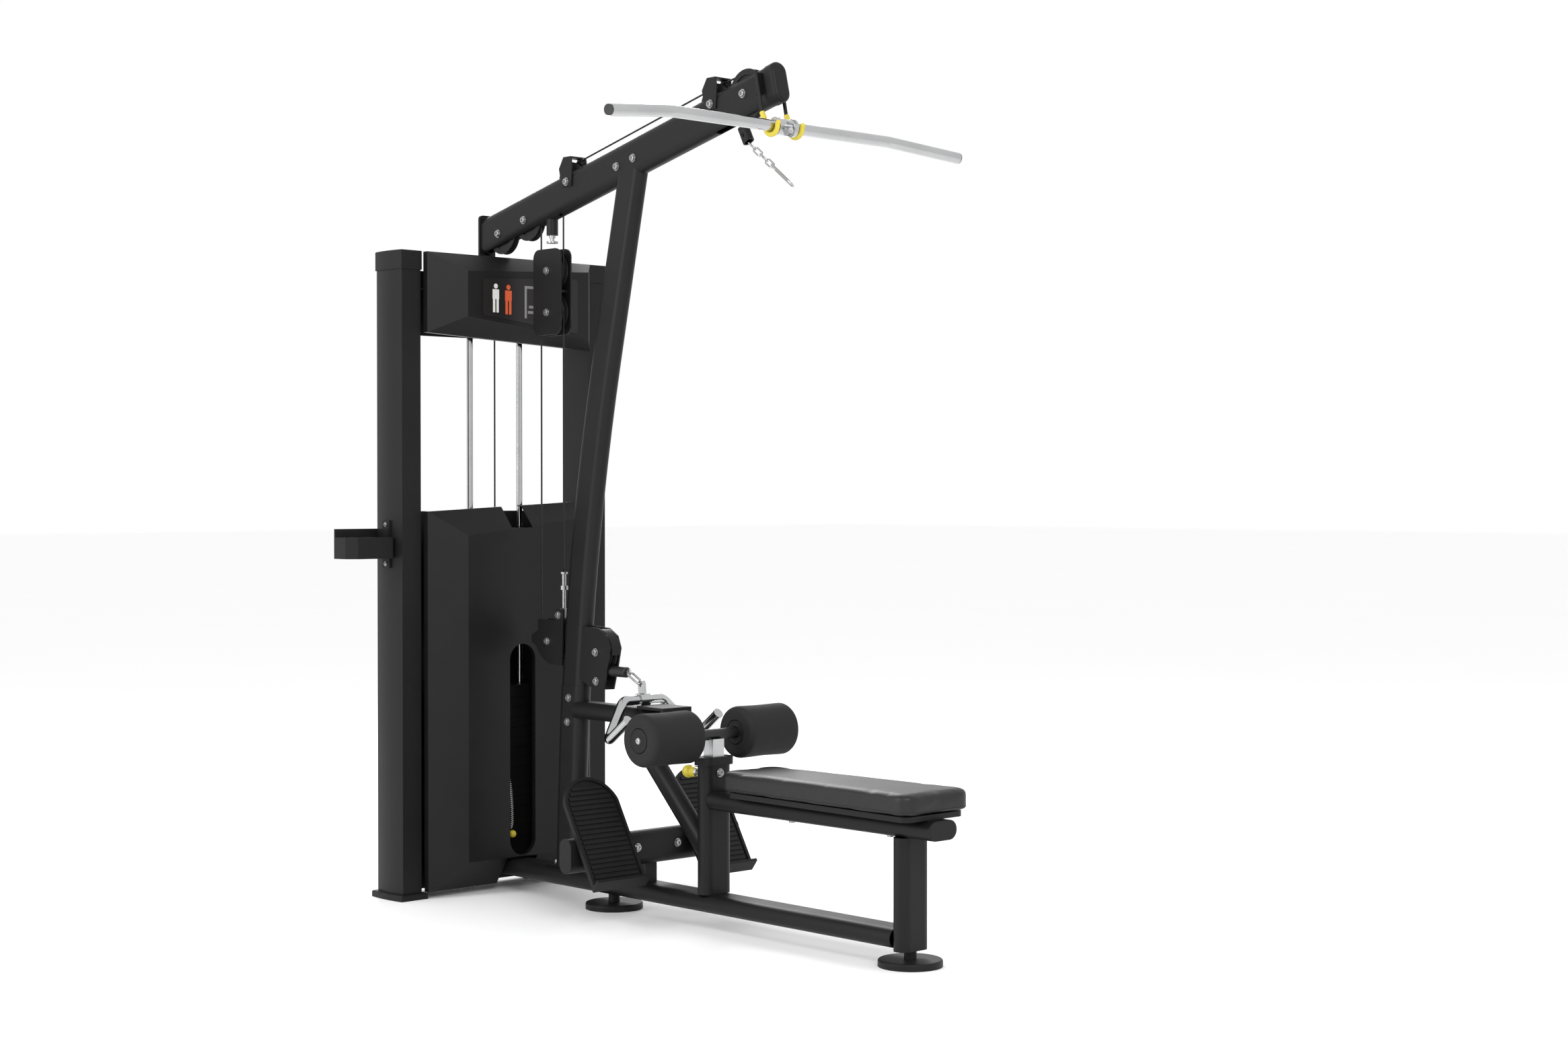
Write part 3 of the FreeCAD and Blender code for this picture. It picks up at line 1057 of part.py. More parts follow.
def make_rollers():
    """Height-adjusting tube, cross axle, two foam rollers and the pop pin that locks the height."""
    y = FRONT_POST_Y
    half = INNER_TUBE / 2.0
    core = half - TUBE_WALL
    top = AXLE_Z - ROLLER_AXLE_R + 4.0
    tube = box(-half, half, y - half, y + half, INNER_BOTTOM, top)
    tube = tube.cut(box(-core, core, y - core, y + core, INNER_BOTTOM, top))
    axle_end = ROLLER_OUT - SCREW_DEPTH
    axle_bar = across(-axle_end, axle_end, AXLE_Y, AXLE_Z, ROLLER_AXLE_R)
    for i in range(HEIGHT_HOLES):
        z = POP_PIN[2] + HOLE_PITCH * (i - 3)
        tube = tube.cut(cyl(V(0, y, z), Y_AXIS, POP_SHAFT_R + RUN_GAP, half + 1))
    keep("roller_post", tube.cut(axle_bar))
    keep("roller_post", axle_bar)
    for side, name in ((-1, "left"), (1, "right")):
        make_roller(side, "foam_roller_" + name)
        out = V(side, 0, 0)
        screw = cyl(V(side * axle_end, AXLE_Y, AXLE_Z), out, SCREW_R, SCREW_DEPTH + RUN_GAP)
        head = hex_bolt(V(side * (ROLLER_OUT + RUN_GAP), AXLE_Y, AXLE_Z), out, 7.0, 3.5, 8.5)
        keep("roller_post", screw.fuse(head))


def make_roller(side, node):
    """A foam sleeve on two hubs. The outer hub is closed but for the axle's end screw."""
    x0, x1 = sorted((side * ROLLER_IN, side * ROLLER_OUT))
    spigot_r = ROLLER_AXLE_R + 6.0
    foam = across(x0, x1, AXLE_Y, AXLE_Z, ROLLER_R)
    foam = foam.makeFillet(14.0, [e for e in foam.Edges if e.Curve.TypeId == "Part::GeomCircle"])
    foam = foam.cut(across(x0, x1, AXLE_Y, AXLE_Z, spigot_r))
    for x in (x0, x1 - HUB_T):
        foam = foam.cut(across(x, x + HUB_T, AXLE_Y, AXLE_Z, HUB_R + RUN_GAP))
    keep(node, foam)

    def hub(at, inwards):
        flange = sorted((at, at + inwards * HUB_T))
        spigot = sorted((at + inwards * HUB_T, at + inwards * HUB_L))
        disc = across(flange[0], flange[1], AXLE_Y, AXLE_Z, HUB_R)
        return disc.fuse(across(spigot[0], spigot[1], AXLE_Y, AXLE_Z, spigot_r))

    bore_r = ROLLER_AXLE_R + BORE_FIT
    axle_end = side * (ROLLER_OUT - SCREW_DEPTH)
    stub = sorted((axle_end, side * (ROLLER_OUT - HUB_L - 20.0)))
    outer = hub(side * ROLLER_OUT, -side).cut(across(stub[0], stub[1], AXLE_Y, AXLE_Z, bore_r))
    screw = cyl(V(axle_end, AXLE_Y, AXLE_Z), V(side, 0, 0), SCREW_R + AXLE_GAP, SCREW_DEPTH)
    keep(node, outer.cut(screw))
    keep(node, hub(side * ROLLER_IN, side).cut(across(-ROLLER_OUT, ROLLER_OUT, AXLE_Y, AXLE_Z, bore_r)))


def make_pop_pin():
    """A sprung pin through a boss on the front post, with a cone and a ball to pull."""
    x, y, z = POP_PIN
    face = FRONT_POST_Y + TUBE_S / 2.0
    boss_l = 24.0
    boss = cyl(V(0, face - TUBE_WALL, z), Y_AXIS, 9.0, TUBE_WALL).fuse(cyl(V(0, face, z), Y_AXIS, 13.0, boss_l))
    boss = boss.cut(cyl(V(0, face - TUBE_WALL - 1.0, z), Y_AXIS, POP_SHAFT_R + AXLE_GAP, 40.0))
    keep("frame_bolts", boss)
    tip = FRONT_POST_Y + INNER_TUBE / 2.0 + RUN_GAP
    keep("pop_pin", cyl(V(0, tip, z), Y_AXIS, POP_SHAFT_R, y - tip))
    start = face + boss_l + RUN_GAP
    shaft = cyl(V(0, start, z), Y_AXIS, POP_SHAFT_R, y - start)
    ball = Part.makeSphere(18.0, V(0, y + 4.0, z))
    cone = Part.makeCone(12.0, 15.0, 24.0, V(0, start + 14.0, z), Y_AXIS)
    keep("pop_pin", ball.cut(shaft).fuse(cone.cut(shaft)))


# --- foot plates, brace and handle shelf -----------------------------------------------------
def make_cross_bar():
    """A crossbar in front of the mast's foot, its end caps, its support and its two bolts."""
    size = (TUBE_L - 4.0, TUBE_S)
    start, end = V(-CROSS_HALF, CROSS_Y, CROSS_Z), V(CROSS_HALF, CROSS_Y, CROSS_Z)
    keep("foot_crossbar", oval_tube(start, end, Z_AXIS, *size))
    for at, out in ((start, V(-5.0, 0, 0)), (end, V(5.0, 0, 0))):
        keep("tube_end_caps", oval_bar(at, at + out, Z_AXIS, *size))
    support = box(-20, 20, CROSS_Y + 2, CROSS_Y + 42, BEAM_Z + BEAM_H, CROSS_Z - 10.0)
    keep("foot_crossbar", largest(support.cut(oval_bar(start, end, Z_AXIS, *size))))
    face = CROSS_Y - TUBE_S / 2.0
    keep("frame_bolts", *[hex_bolt(V(x, face, CROSS_Z + 4.0), V(0, -1, 0)) for x in (-73.0, 73.0)])


def make_foot_plate(x):
    """A slanting moulded foot plate: round at the top, ribbed face, raised rim and a bottom lip."""
    tilt = math.radians(FOOTPLATE_TILT)
    up = V(0, math.sin(tilt), math.cos(tilt))
    out = V(0, -math.cos(tilt), math.sin(tilt))
    origin = V(x, *FOOTPLATE_LOW)
    half = V(FOOTPLATE_W / 2.0, 0, 0)
    round_h = FOOTPLATE_W / 2.0 * 0.8      # height of the round top
    straight = FOOTPLATE_L - round_h

    def outline(grow, level):
        at = origin + out * level
        wide = half + V(grow, 0, 0)
        a, b = at - wide - up * grow, at + wide - up * grow
        c, d = at + wide + up * straight, at - wide + up * straight
        crown = Part.Arc(c, at + up * (FOOTPLATE_L + grow), d).toShape()
        return Part.Face(Part.Wire([line(a, b), line(b, c), crown, line(d, a)]))

    plate = outline(0.0, 0.0).extrude(out * FOOTPLATE_T)
    plate = plate.cut(outline(-RIM_W, FOOTPLATE_T - RIM_H).extrude(out * 2 * RIM_H))
    for i in range(RIBS):
        height = RIB_START + i * RIB_PITCH
        reach = half.x - RIM_W - 7.0
        over = height - straight
        if over > 0:
            narrower = 1.0 - 0.0045 * over
            reach *= narrower * math.sqrt(max(0.05, 1.0 - (over / (round_h - 8.0)) ** 2))
        base = origin + up * height + out * (FOOTPLATE_T - RIM_H)
        wide, high = V(reach, 0, 0), up * RIB_H
        plate = plate.fuse(prism([base - wide, base + wide, base + wide + high, base - wide + high], out * 3.0))
    corner = origin - half
    lip = [corner, corner + out * 34.0 + up * 9.0, corner + out * 34.0 + up * 2.0, corner - up * 12.0]
    keep("foot_plates", plate.fuse(prism(lip, half * 2.0)))
    keep("foot_crossbar", plate_bracket(origin, math.tan(tilt)))


def plate_bracket(origin, slope):
    """A wedge between the crossbar's front face and the back of a foot plate."""
    face = CROSS_Y - TUBE_S / 2.0
    low, high = CROSS_Z - 30.0, CROSS_Z + 30.0
    low_y = origin.y + (low - origin.z) * slope
    high_y = origin.y + (high - origin.z) * slope
    x = origin.x - 40.0
    return prism([V(x, face, low), V(x, face, high), V(x, high_y, high), V(x, low_y, low)], V(80, 0, 0))


def make_shelf():
    """The shelf tube ahead of the mast, with a rest for the handle, and the brace below it."""
    start = V(0, mast_back(SHELF_Z) - TUBE_L + 18.0, SHELF_Z)
    end = V(0, SHELF_END, SHELF_Z)
    keep("handle_shelf", largest(oval_tube(start, end, X_AXIS, SHELF_W, TUBE_S).cut(mast_body(SLEEVE_T))))
    top = SHELF_Z + TUBE_S / 2.0
    rest_back = -660.0
    wide = SHELF_W / 2.0 + 12.0
    rest = box(-wide, wide, SHELF_END - 14.0, rest_back, top, top + 8.0)
    rest = rest.fuse(box(-wide, wide, SHELF_END - 14.0, SHELF_END - 2.0, SHELF_Z - 18.0, top + 8.0))
    upright = [e for e in rest.Edges if e.BoundBox.ZLength > 7.5 and e.BoundBox.DiagonalLength < 8.5]
    corners = [e for e in upright if abs(e.BoundBox.YMin - rest_back) < 0.1]
    rest = rest.makeFillet(10.0, corners)
    keep("tube_end_caps", rest.cut(oval_bar(start, end, X_AXIS, SHELF_W, TUBE_S)))

    face = FRONT_POST_Y + TUBE_S / 2.0
    lower, upper = V(0, face, BRACE_LOW_Z), V(0, BRACE_TOP_Y, SHELF_Z)
    run = upper - lower
    brace = oval_tube(lower - run * 0.1, upper + run * 0.1, V(0, -0.7, 0.7), BRACE_L, TUBE_S)
    brace = brace.cut(box(-TUBE_L, TUBE_L, face - 200.0, face, 0, SHELF_Z))
    brace = brace.cut(box(-TUBE_L, TUBE_L, face, 0, SHELF_Z - TUBE_S / 2.0, SHELF_Z + 200.0))
    keep("handle_shelf", largest(brace))


# --- accessory holder ------------------------------------------------------------------------
def make_holder():
    """A moulded tray on the left column, on a small screwed bracket."""
    side = -COL_OUT - COL_BOW
    y0, y1 = 28.0, 112.0
    z0, z1 = 994.0, 1056.0
    plate = box(side - 6.0, side, 48.0, 82.0, 966.0, 1104.0)
    keep("accessory_holder", plate)
    x_in, x_out = side - 6.0, side - 152.0
    chamfer = 26.0
    outline = [V(x_in, y0, z0), V(x_in, y1, z0), V(x_out, y1, z0), V(x_out, y0 + chamfer, z0),
               V(x_out + chamfer, y0, z0)]
    tray = prism(outline, V(0, 0, z1 - z0))
    pocket_pts = [V(x_in - 5, y0 + 5, z0 + 5), V(x_in - 5, y1 - 5, z0 + 5), V(x_out + 5, y1 - 5, z0 + 5),
                  V(x_out + 5, y0 + chamfer + 2, z0 + 5), V(x_out + chamfer + 2, y0 + 5, z0 + 5)]
    tray = tray.cut(prism(pocket_pts, V(0, 0, z1 - z0)))
    back = box(x_out, x_in, y1 - 5.0, y1, z1, z1 + 24.0).fuse(box(x_in - 5.0, x_in, y0 + 20, y1, z1, z1 + 24.0))
    keep("accessory_holder", tray.fuse(back))
    screws = [hex_bolt(V(side - 6.0, 65.0, z), V(-1, 0, 0), 5.0, 3.0, 7.0) for z in (978.0, 1092.0)]
    keep("frame_bolts", *screws)


def make_all():
    make_columns()
    make_beams()
    make_shrouds()
    make_stack()
    make_lanyard()
    make_pulleys()
    make_boom()
    make_guard(GUIDE_A)
    make_guard(GUIDE_B)
    make_mast()
    make_block()
    make_low_brackets()
    make_adjuster()
    make_cables()
    make_lat_end()
    make_hooks()
    make_lat_bar()
    make_row_end()
    make_row_handle()
    make_base()
    make_bench()
    make_rollers()
    make_pop_pin()
    make_cross_bar()
    make_foot_plate(-PLATE_X)
    make_foot_plate(PLATE_X)
    make_shelf()
    make_holder()


def write_all():
    os.makedirs("parts", exist_ok=True)
    for name, solids in sorted(PIECES.items()):
        moved = solids[0].copy() if len(solids) == 1 else Part.makeCompound(solids)
        moved.translate(V(0, Y_SHIFT, 0))
        moved.exportStep("parts/" + name + ".step")
    print(len(PIECES), "pieces written, shifted by", Y_SHIFT)


make_all()
write_all()
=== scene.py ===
# %% [markdown]
# A lat pulldown and low row machine, finished in Blender around its CAD frame. The CAD solids give
# every tube, plate, pulley and bolt its true size and place, so nothing here moves or resizes them.
# What is made here is what CAD leaves plain: the upholstered seat, the foam rollers, the curly cord
# on the weight pin, the cable stretches that change length, the printed placard, and the finishes.

import json
import math

import bpy
import numpy as np
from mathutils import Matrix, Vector
from mathutils.bvhtree import BVHTree

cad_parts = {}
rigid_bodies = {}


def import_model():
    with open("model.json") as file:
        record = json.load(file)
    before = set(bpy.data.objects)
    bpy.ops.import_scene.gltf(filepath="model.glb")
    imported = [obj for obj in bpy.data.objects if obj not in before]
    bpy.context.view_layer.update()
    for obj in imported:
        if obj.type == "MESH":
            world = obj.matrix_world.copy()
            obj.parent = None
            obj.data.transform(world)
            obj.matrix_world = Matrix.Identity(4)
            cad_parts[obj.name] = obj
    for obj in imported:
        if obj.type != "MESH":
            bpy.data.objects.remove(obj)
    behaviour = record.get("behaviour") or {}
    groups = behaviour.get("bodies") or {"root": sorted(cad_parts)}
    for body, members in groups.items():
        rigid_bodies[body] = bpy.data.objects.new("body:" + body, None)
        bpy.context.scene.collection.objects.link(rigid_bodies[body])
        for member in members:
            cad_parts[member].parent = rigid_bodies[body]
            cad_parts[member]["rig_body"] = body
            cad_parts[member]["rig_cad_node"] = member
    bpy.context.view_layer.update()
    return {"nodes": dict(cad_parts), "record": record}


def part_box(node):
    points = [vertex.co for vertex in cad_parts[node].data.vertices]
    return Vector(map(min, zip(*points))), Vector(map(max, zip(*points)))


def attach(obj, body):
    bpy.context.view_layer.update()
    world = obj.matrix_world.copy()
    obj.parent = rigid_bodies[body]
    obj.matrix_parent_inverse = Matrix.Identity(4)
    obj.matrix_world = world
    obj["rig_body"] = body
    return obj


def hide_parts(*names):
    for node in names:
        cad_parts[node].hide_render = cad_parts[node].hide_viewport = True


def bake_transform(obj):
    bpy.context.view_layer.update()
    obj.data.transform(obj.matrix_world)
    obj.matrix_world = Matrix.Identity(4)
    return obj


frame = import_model()
nodes = frame["nodes"]
slot_of = {part["node"]: part["material_slot"] for part in frame["record"]["subparts"]}

# %% [markdown]
# The camera comes first, because every later choice is judged through it. It stands at chest height
# in front of the bench and to its left, and looks almost level with a moderately long lens. A
# level camera keeps the uprights parallel, where a tilted one would make them lean together.

# %% Camera
AZIMUTH = math.radians(-43.40)
ELEVATION = math.radians(0.821)
LENS_MM = 55.43
CAMERA_AT = Vector((-4.3738, -5.0133, 1.1842))

behind = Vector((math.sin(AZIMUTH) * math.cos(ELEVATION), -math.cos(AZIMUTH) * math.cos(ELEVATION),
                 math.sin(ELEVATION)))
camera_data = bpy.data.cameras.new("camera")
camera_data.lens = LENS_MM
camera_data.sensor_width = 36.0
camera_data.clip_end = 200.0
camera = bpy.data.objects.new("camera", camera_data)
camera.location = CAMERA_AT
camera.rotation_mode = "QUATERNION"
camera.rotation_quaternion = (-behind).to_track_quat("-Z", "Y")
bpy.context.scene.collection.objects.link(camera)
bpy.context.scene.camera = camera
print("camera looks along", [round(v, 3) for v in -behind])

# %% [markdown]
# Shader maths is easier to read as arithmetic. Flow wraps one socket, and its operators add Math
# nodes. Finish owns one material: node() adds any node from its type, its settings and its inputs,
# and set() feeds a socket of the Principled shader. Every pattern reads Object coordinates, which
# are metres in the machine's own frame, so a scale of 1000 gives features one millimetre across.

# %% Shader arithmetic
def feed(tree, socket, value):
    """Links a Flow to a socket, or writes a plain number or colour into it."""
    if isinstance(value, Flow):
        tree.links.new(value.socket, socket)
    else:
        socket.default_value = value


class Flow:
    """One varying value on a surface. Arithmetic on it adds Math nodes."""

    def __init__(self, tree, socket):
        self.tree = tree
        self.socket = socket

    def math(self, operation, first, second=0.0):
        made = self.tree.nodes.new("ShaderNodeMath")
        made.operation = operation
        feed(self.tree, made.inputs[0], first)
        feed(self.tree, made.inputs[1], second)
        return Flow(self.tree, made.outputs[0])

    def __add__(self, other):
        return self.math("ADD", self, other)

    __radd__ = __add__

    def __sub__(self, other):
        return self.math("SUBTRACT", self, other)

    def __rsub__(self, other):
        return self.math("SUBTRACT", other, self)

    def __mul__(self, other):
        return self.math("MULTIPLY", self, other)

    __rmul__ = __mul__

    def above(self, limit):
        return self.math("GREATER_THAN", self, limit)

    def absolute(self):
        return self.math("ABSOLUTE", self)


class Finish:
    """One procedural material round a Principled shader."""

    def __init__(self, name, color, roughness, metallic=0.0, **constants):
        self.material = bpy.data.materials.new(name)
        self.material.use_nodes = True
        self.tree = self.material.node_tree
        self.shader = self.tree.nodes["Principled BSDF"]
        self.set("Base Color", (*color, 1.0))
        self.set("Roughness", roughness)
        self.set("Metallic", metallic)
        for key, value in constants.items():
            self.set(key.replace("_", " ").title().replace("Ior", "IOR"), value)
        self.coords = self.node("ShaderNodeTexCoord", output="Object")

    def node(self, kind, settings=None, inputs=None, output=0):
        made = self.tree.nodes.new(kind)
        for key, value in (settings or {}).items():
            setattr(made, key, value)
        for key, value in (inputs or {}).items():
            feed(self.tree, made.inputs[key], value)
        return Flow(self.tree, made.outputs[output])

    def set(self, socket, value):
        feed(self.tree, self.shader.inputs[socket], value)

    def noise(self, scale, detail=2.0, rough=0.5, vector=None):
        return self.node("ShaderNodeTexNoise", None, {"Vector": vector or self.coords, "Scale": scale,
                                                      "Detail": detail, "Roughness": rough})

    def cells(self, scale, feature="F1", vector=None):
        return self.node("ShaderNodeTexVoronoi", {"feature": feature},
                         {"Vector": vector or self.coords, "Scale": scale}, "Distance")

    def axis(self, name):
        return self.node("ShaderNodeSeparateXYZ", None, {0: self.coords}, name)

    def stretched(self, x, y, z):
        """Object coordinates scaled by a different amount along each axis."""
        return self.node("ShaderNodeMapping", None, {"Vector": self.coords, "Scale": (x, y, z)})

    def mix(self, factor, first, second):
        return self.node("ShaderNodeMix", {"data_type": "RGBA"}, {0: factor, 6: first, 7: second}, 2)

    def bump(self, height, distance, strength=1.0):
        self.set("Normal", self.node("ShaderNodeBump", None,
                                     {"Height": height, "Distance": distance, "Strength": strength}))


# %% [markdown]
# Satin black powder coat covers the frame. Real powder coat flows into a very fine orange peel and
# holds a scatter of brighter grains, so the colour is mixed from two close blacks, the roughness
# drifts over a hand's width, and the bump has two scales: the peel and the grain.

# %% Painted steel
BLACK_SHINE = 0.2


def powder_coat():
    paint = Finish("black_powder_coat", (0.006, 0.006, 0.0065), 0.42, Specular_IOR_Level=BLACK_SHINE)
    drift = paint.noise(9.0, 3.0)
    grain = paint.noise(1500.0, 2.0)
    fleck = paint.cells(900.0)
    paint.set("Base Color", paint.mix(grain * 0.7 + drift * 0.25, (0.0025, 0.0025, 0.0027, 1.0),
                                      (0.012, 0.012, 0.0125, 1.0)))
    paint.set("Roughness", 0.34 + drift * 0.12 + fleck * 0.08)
    paint.bump(paint.noise(420.0, 2.0) * 0.6 + grain * 0.4, 0.00012, 0.55)
    return paint.material


# %% [markdown]
# Plastic parts are moulded with a spark-eroded grain. Small cells give its pebbled look. One function
# serves four kinds of part: the big covers have a finer, glossier grain than the caps, feet and foot
# plates, the wheels' nylon is the finest, and the cast plates of the stack are the coarsest.

# %% Moulded plastics
def moulded(name, low, high, rough, cell_scale, depth):
    plastic = Finish(name, low, rough, Specular_IOR_Level=BLACK_SHINE)
    cells = plastic.cells(cell_scale, "SMOOTH_F1")
    cloud = plastic.noise(14.0, 3.0)
    plastic.set("Base Color", plastic.mix(cloud * 0.5 + cells * 0.5, (*low, 1.0), (*high, 1.0)))
    plastic.set("Roughness", rough - 0.05 + cloud * 0.1)
    plastic.bump(cells * 0.7 + plastic.noise(cell_scale * 2.2) * 0.3, depth, 0.6)
    return plastic.material


# %% [markdown]
# Bright metal needs something to break up its reflections: chrome gets faint smears of handling,
# and zinc-plated bolts a cloudy, rougher surface. The colour, the roughness and a very shallow bump
# vary. The height tube and its crossing axle share a node, so their finish is told apart by a mask.

# %% Bright metals
CHROME_DARK, CHROME_PALE = (0.40, 0.405, 0.41, 1.0), (0.56, 0.56, 0.565, 1.0)
PAINT_BLACK = (0.006, 0.006, 0.006, 1.0)
AXLE_MASK_R = 0.0155


def chrome():
    metal = Finish("chrome", (0.80, 0.81, 0.82), 0.1, 1.0)
    smear = metal.noise(22.0, 4.0, 0.65, metal.stretched(0.35, 1.0, 1.0))
    metal.set("Base Color", metal.mix(smear, CHROME_DARK, CHROME_PALE))
    metal.set("Roughness", 0.05 + smear * smear * 0.2)
    metal.bump(metal.noise(240.0, 2.0), 0.00003, 0.35)
    return metal.material


def zinc():
    metal = Finish("zinc_plate", (0.6, 0.6, 0.6), 0.3, 1.0)
    bloom = metal.noise(180.0, 3.0)
    metal.set("Base Color", metal.mix(bloom, (0.26, 0.26, 0.265, 1.0), (0.46, 0.46, 0.46, 1.0)))
    metal.set("Roughness", 0.2 + bloom * 0.22)
    metal.bump(metal.noise(900.0), 0.00005, 0.4)
    return metal.material


def post_and_axle(name, axle, half):
    """The height tube is drawn aluminium with fine lines along it. The crossing axle is painted
    black, and its end screws are bright: the mask is a distance from the axle's line."""
    metal = Finish(name, (0.6, 0.6, 0.6), 0.28, 1.0)
    lines = metal.noise(60.0, 3.0, 0.6, metal.stretched(30.0, 30.0, 0.4))
    y = metal.axis("Y") - axle[0]
    z = metal.axis("Z") - axle[1]
    near = 1.0 - (y * y + z * z).above(AXLE_MASK_R ** 2)
    painted = near * (1.0 - metal.axis("X").absolute().above(half))
    tube = metal.mix(lines, (0.42, 0.43, 0.44, 1.0), (0.62, 0.62, 0.62, 1.0))
    metal.set("Base Color", metal.mix(painted, tube, PAINT_BLACK))
    metal.set("Metallic", 1.0 - painted)
    metal.set("Roughness", 0.22 + lines * 0.16 + painted * 0.15)
    metal.bump(lines, 0.00004, 0.4)
    return metal.material


# %% [markdown]
# The yellow parts tell the user what to touch. The hooks are dipped in soft plastic with a waxy
# skin; the two pull knobs are harder and glossier. Both are a muted lemon, a little greyer where
# hands have been.

# %% Yellow touch points
LEMON = (0.62, 0.50, 0.035)
WORN_LEMON = (0.46, 0.38, 0.045)


def lemon(name, rough, handled):
    coat = Finish(name, LEMON, rough, Specular_IOR_Level=0.45)
    wear = coat.noise(38.0, 4.0, 0.6)
    coat.set("Base Color", coat.mix(wear * handled, (*LEMON, 1.0), (*WORN_LEMON, 1.0)))
    coat.set("Roughness", rough - 0.06 + wear * 0.14)
    coat.bump(coat.noise(500.0) * 0.5 + wear * 0.5, 0.00012, 0.4)
    return coat.material


# %% [markdown]
# Three more nodes join two materials. The pull pin is a steel shaft with a yellow ball, the row cable ends
# in a black stop and a bright hook, and the chromed bar has black plugs. Splitting their meshes is one
# way. A mask is simpler here, because each change of material lies on a plane that is known.

# %% Two-tone pieces
def knob_on_shaft(name, start_y):
    both = Finish(name, LEMON, 0.3)
    ball = both.axis("Y").above(start_y)
    wear = both.noise(40.0, 3.0)
    yellow = both.mix(wear * 0.6, (*LEMON, 1.0), (*WORN_LEMON, 1.0))
    both.set("Base Color", both.mix(ball, (0.6, 0.6, 0.61, 1.0), yellow))
    both.set("Metallic", 1.0 - ball)
    both.set("Roughness", 0.22 + wear * 0.14)
    both.bump(both.noise(600.0), 0.00005, 0.4)
    return both.material


def stop_and_hook(name, stop_y):
    """A black moulded stop on the cable, then a bright snap hook: the mask is a plane across Y."""
    end = Finish(name, (0.4, 0.4, 0.4), 0.25, 1.0)
    stop = end.axis("Y").above(stop_y)
    grain = end.noise(160.0, 3.0)
    hook = end.mix(grain, (0.30, 0.30, 0.30, 1.0), (0.46, 0.46, 0.46, 1.0))
    end.set("Base Color", end.mix(stop, hook, (0.008, 0.008, 0.008, 1.0)))
    end.set("Metallic", 1.0 - stop)
    end.set("Roughness", 0.2 + grain * 0.15 + stop * 0.2)
    end.bump(grain, 0.00004, 0.3)
    return end.material


def bar_with_plugs(name, bend, tip):
    """Chromed bar with black end plugs. Along the slanting end, a point's share of the end's
    direction tells whether it lies beyond the tip's plane; |x| makes both ends alike."""
    bar = Finish(name, (0.5, 0.5, 0.5), 0.1, 1.0)
    along = (tip - bend).normalized()
    reach = bar.axis("X").absolute() * along.x + bar.axis("Y") * along.y + bar.axis("Z") * along.z
    plug = reach.above(along.dot(tip) + 0.0003)
    smear = bar.noise(20.0, 4.0, 0.65, bar.stretched(0.35, 1.0, 1.0))
    bar.set("Base Color", bar.mix(plug, bar.mix(smear, CHROME_DARK, CHROME_PALE), PAINT_BLACK))
    bar.set("Metallic", 1.0 - plug)
    bar.set("Roughness", 0.08 + smear * smear * 0.2 + plug * 0.4)
    bar.bump(bar.noise(240.0), 0.00003, 0.35)
    return bar.material


# %% [markdown]
# Soft finishes. Vinyl has a pebbled leather grain that stretches a little along the seat. Foam has a
# dull skin of closed cells. The cable's nylon cover shows the twist of the wire below it.

# %% Soft and covered finishes
def vinyl():
    skin = Finish("black_vinyl", (0.008, 0.008, 0.0085), 0.42, Specular_IOR_Level=0.35)
    pebbles = skin.cells(520.0, "SMOOTH_F1", skin.stretched(1.0, 0.85, 1.0))
    folds = skin.noise(130.0, 4.0, 0.6)
    dull = skin.noise(5.0, 3.0)
    skin.set("Base Color", skin.mix(pebbles * 0.8 + dull * 0.2, (0.011, 0.011, 0.0115, 1.0),
                                    (0.004, 0.004, 0.0042, 1.0)))
    skin.set("Roughness", 0.36 + dull * 0.1 + pebbles * 0.1)
    skin.bump((1.0 - pebbles) * 0.75 + folds * 0.25, 0.00035, 0.5)
    return skin.material


def foam():
    sponge = Finish("roller_foam", (0.010, 0.010, 0.0105), 0.72, Specular_IOR_Level=0.25)
    cells = sponge.cells(780.0)
    patches = sponge.noise(45.0, 4.0, 0.6)
    sponge.set("Base Color", sponge.mix(cells * 0.6 + patches * 0.4, (0.006, 0.006, 0.0062, 1.0),
                                        (0.018, 0.018, 0.0185, 1.0)))
    sponge.set("Roughness", 0.62 + patches * 0.2)
    sponge.bump(cells * 0.6 + sponge.noise(1700.0) * 0.2 + patches * 0.2, 0.0003, 0.6)
    return sponge.material


def cable_cover():
    nylon = Finish("cable_nylon", (0.01, 0.01, 0.01), 0.33, Specular_IOR_Level=BLACK_SHINE)
    twist = nylon.node("ShaderNodeTexWave", {"wave_type": "BANDS", "bands_direction": "DIAGONAL"},
                       {"Vector": nylon.coords, "Scale": 110.0, "Distortion": 0.0}, "Fac")
    rub = nylon.noise(35.0, 3.0)
    nylon.set("Base Color", nylon.mix(rub, (0.003, 0.003, 0.003, 1.0), (0.012, 0.012, 0.012, 1.0)))
    nylon.set("Roughness", 0.26 + rub * 0.16)
    nylon.bump(twist, 0.0002, 0.35)
    return nylon.material


def cord_plastic():
    cord = Finish("cord_plastic", (0.62, 0.61, 0.57), 0.3, Specular_IOR_Level=0.55)
    age = cord.noise(90.0, 3.0)
    cord.set("Base Color", cord.mix(age, (0.70, 0.69, 0.65, 1.0), (0.50, 0.48, 0.42, 1.0)))
    cord.set("Roughness", 0.24 + age * 0.14)
    cord.bump(cord.noise(1200.0), 0.00004, 0.3)
    return cord.material


# %% [markdown]
# Each CAD node takes the finish of its slot in the record. Nodes that hold two materials, such as the
# bar with its black plugs, get a masked finish of their own.

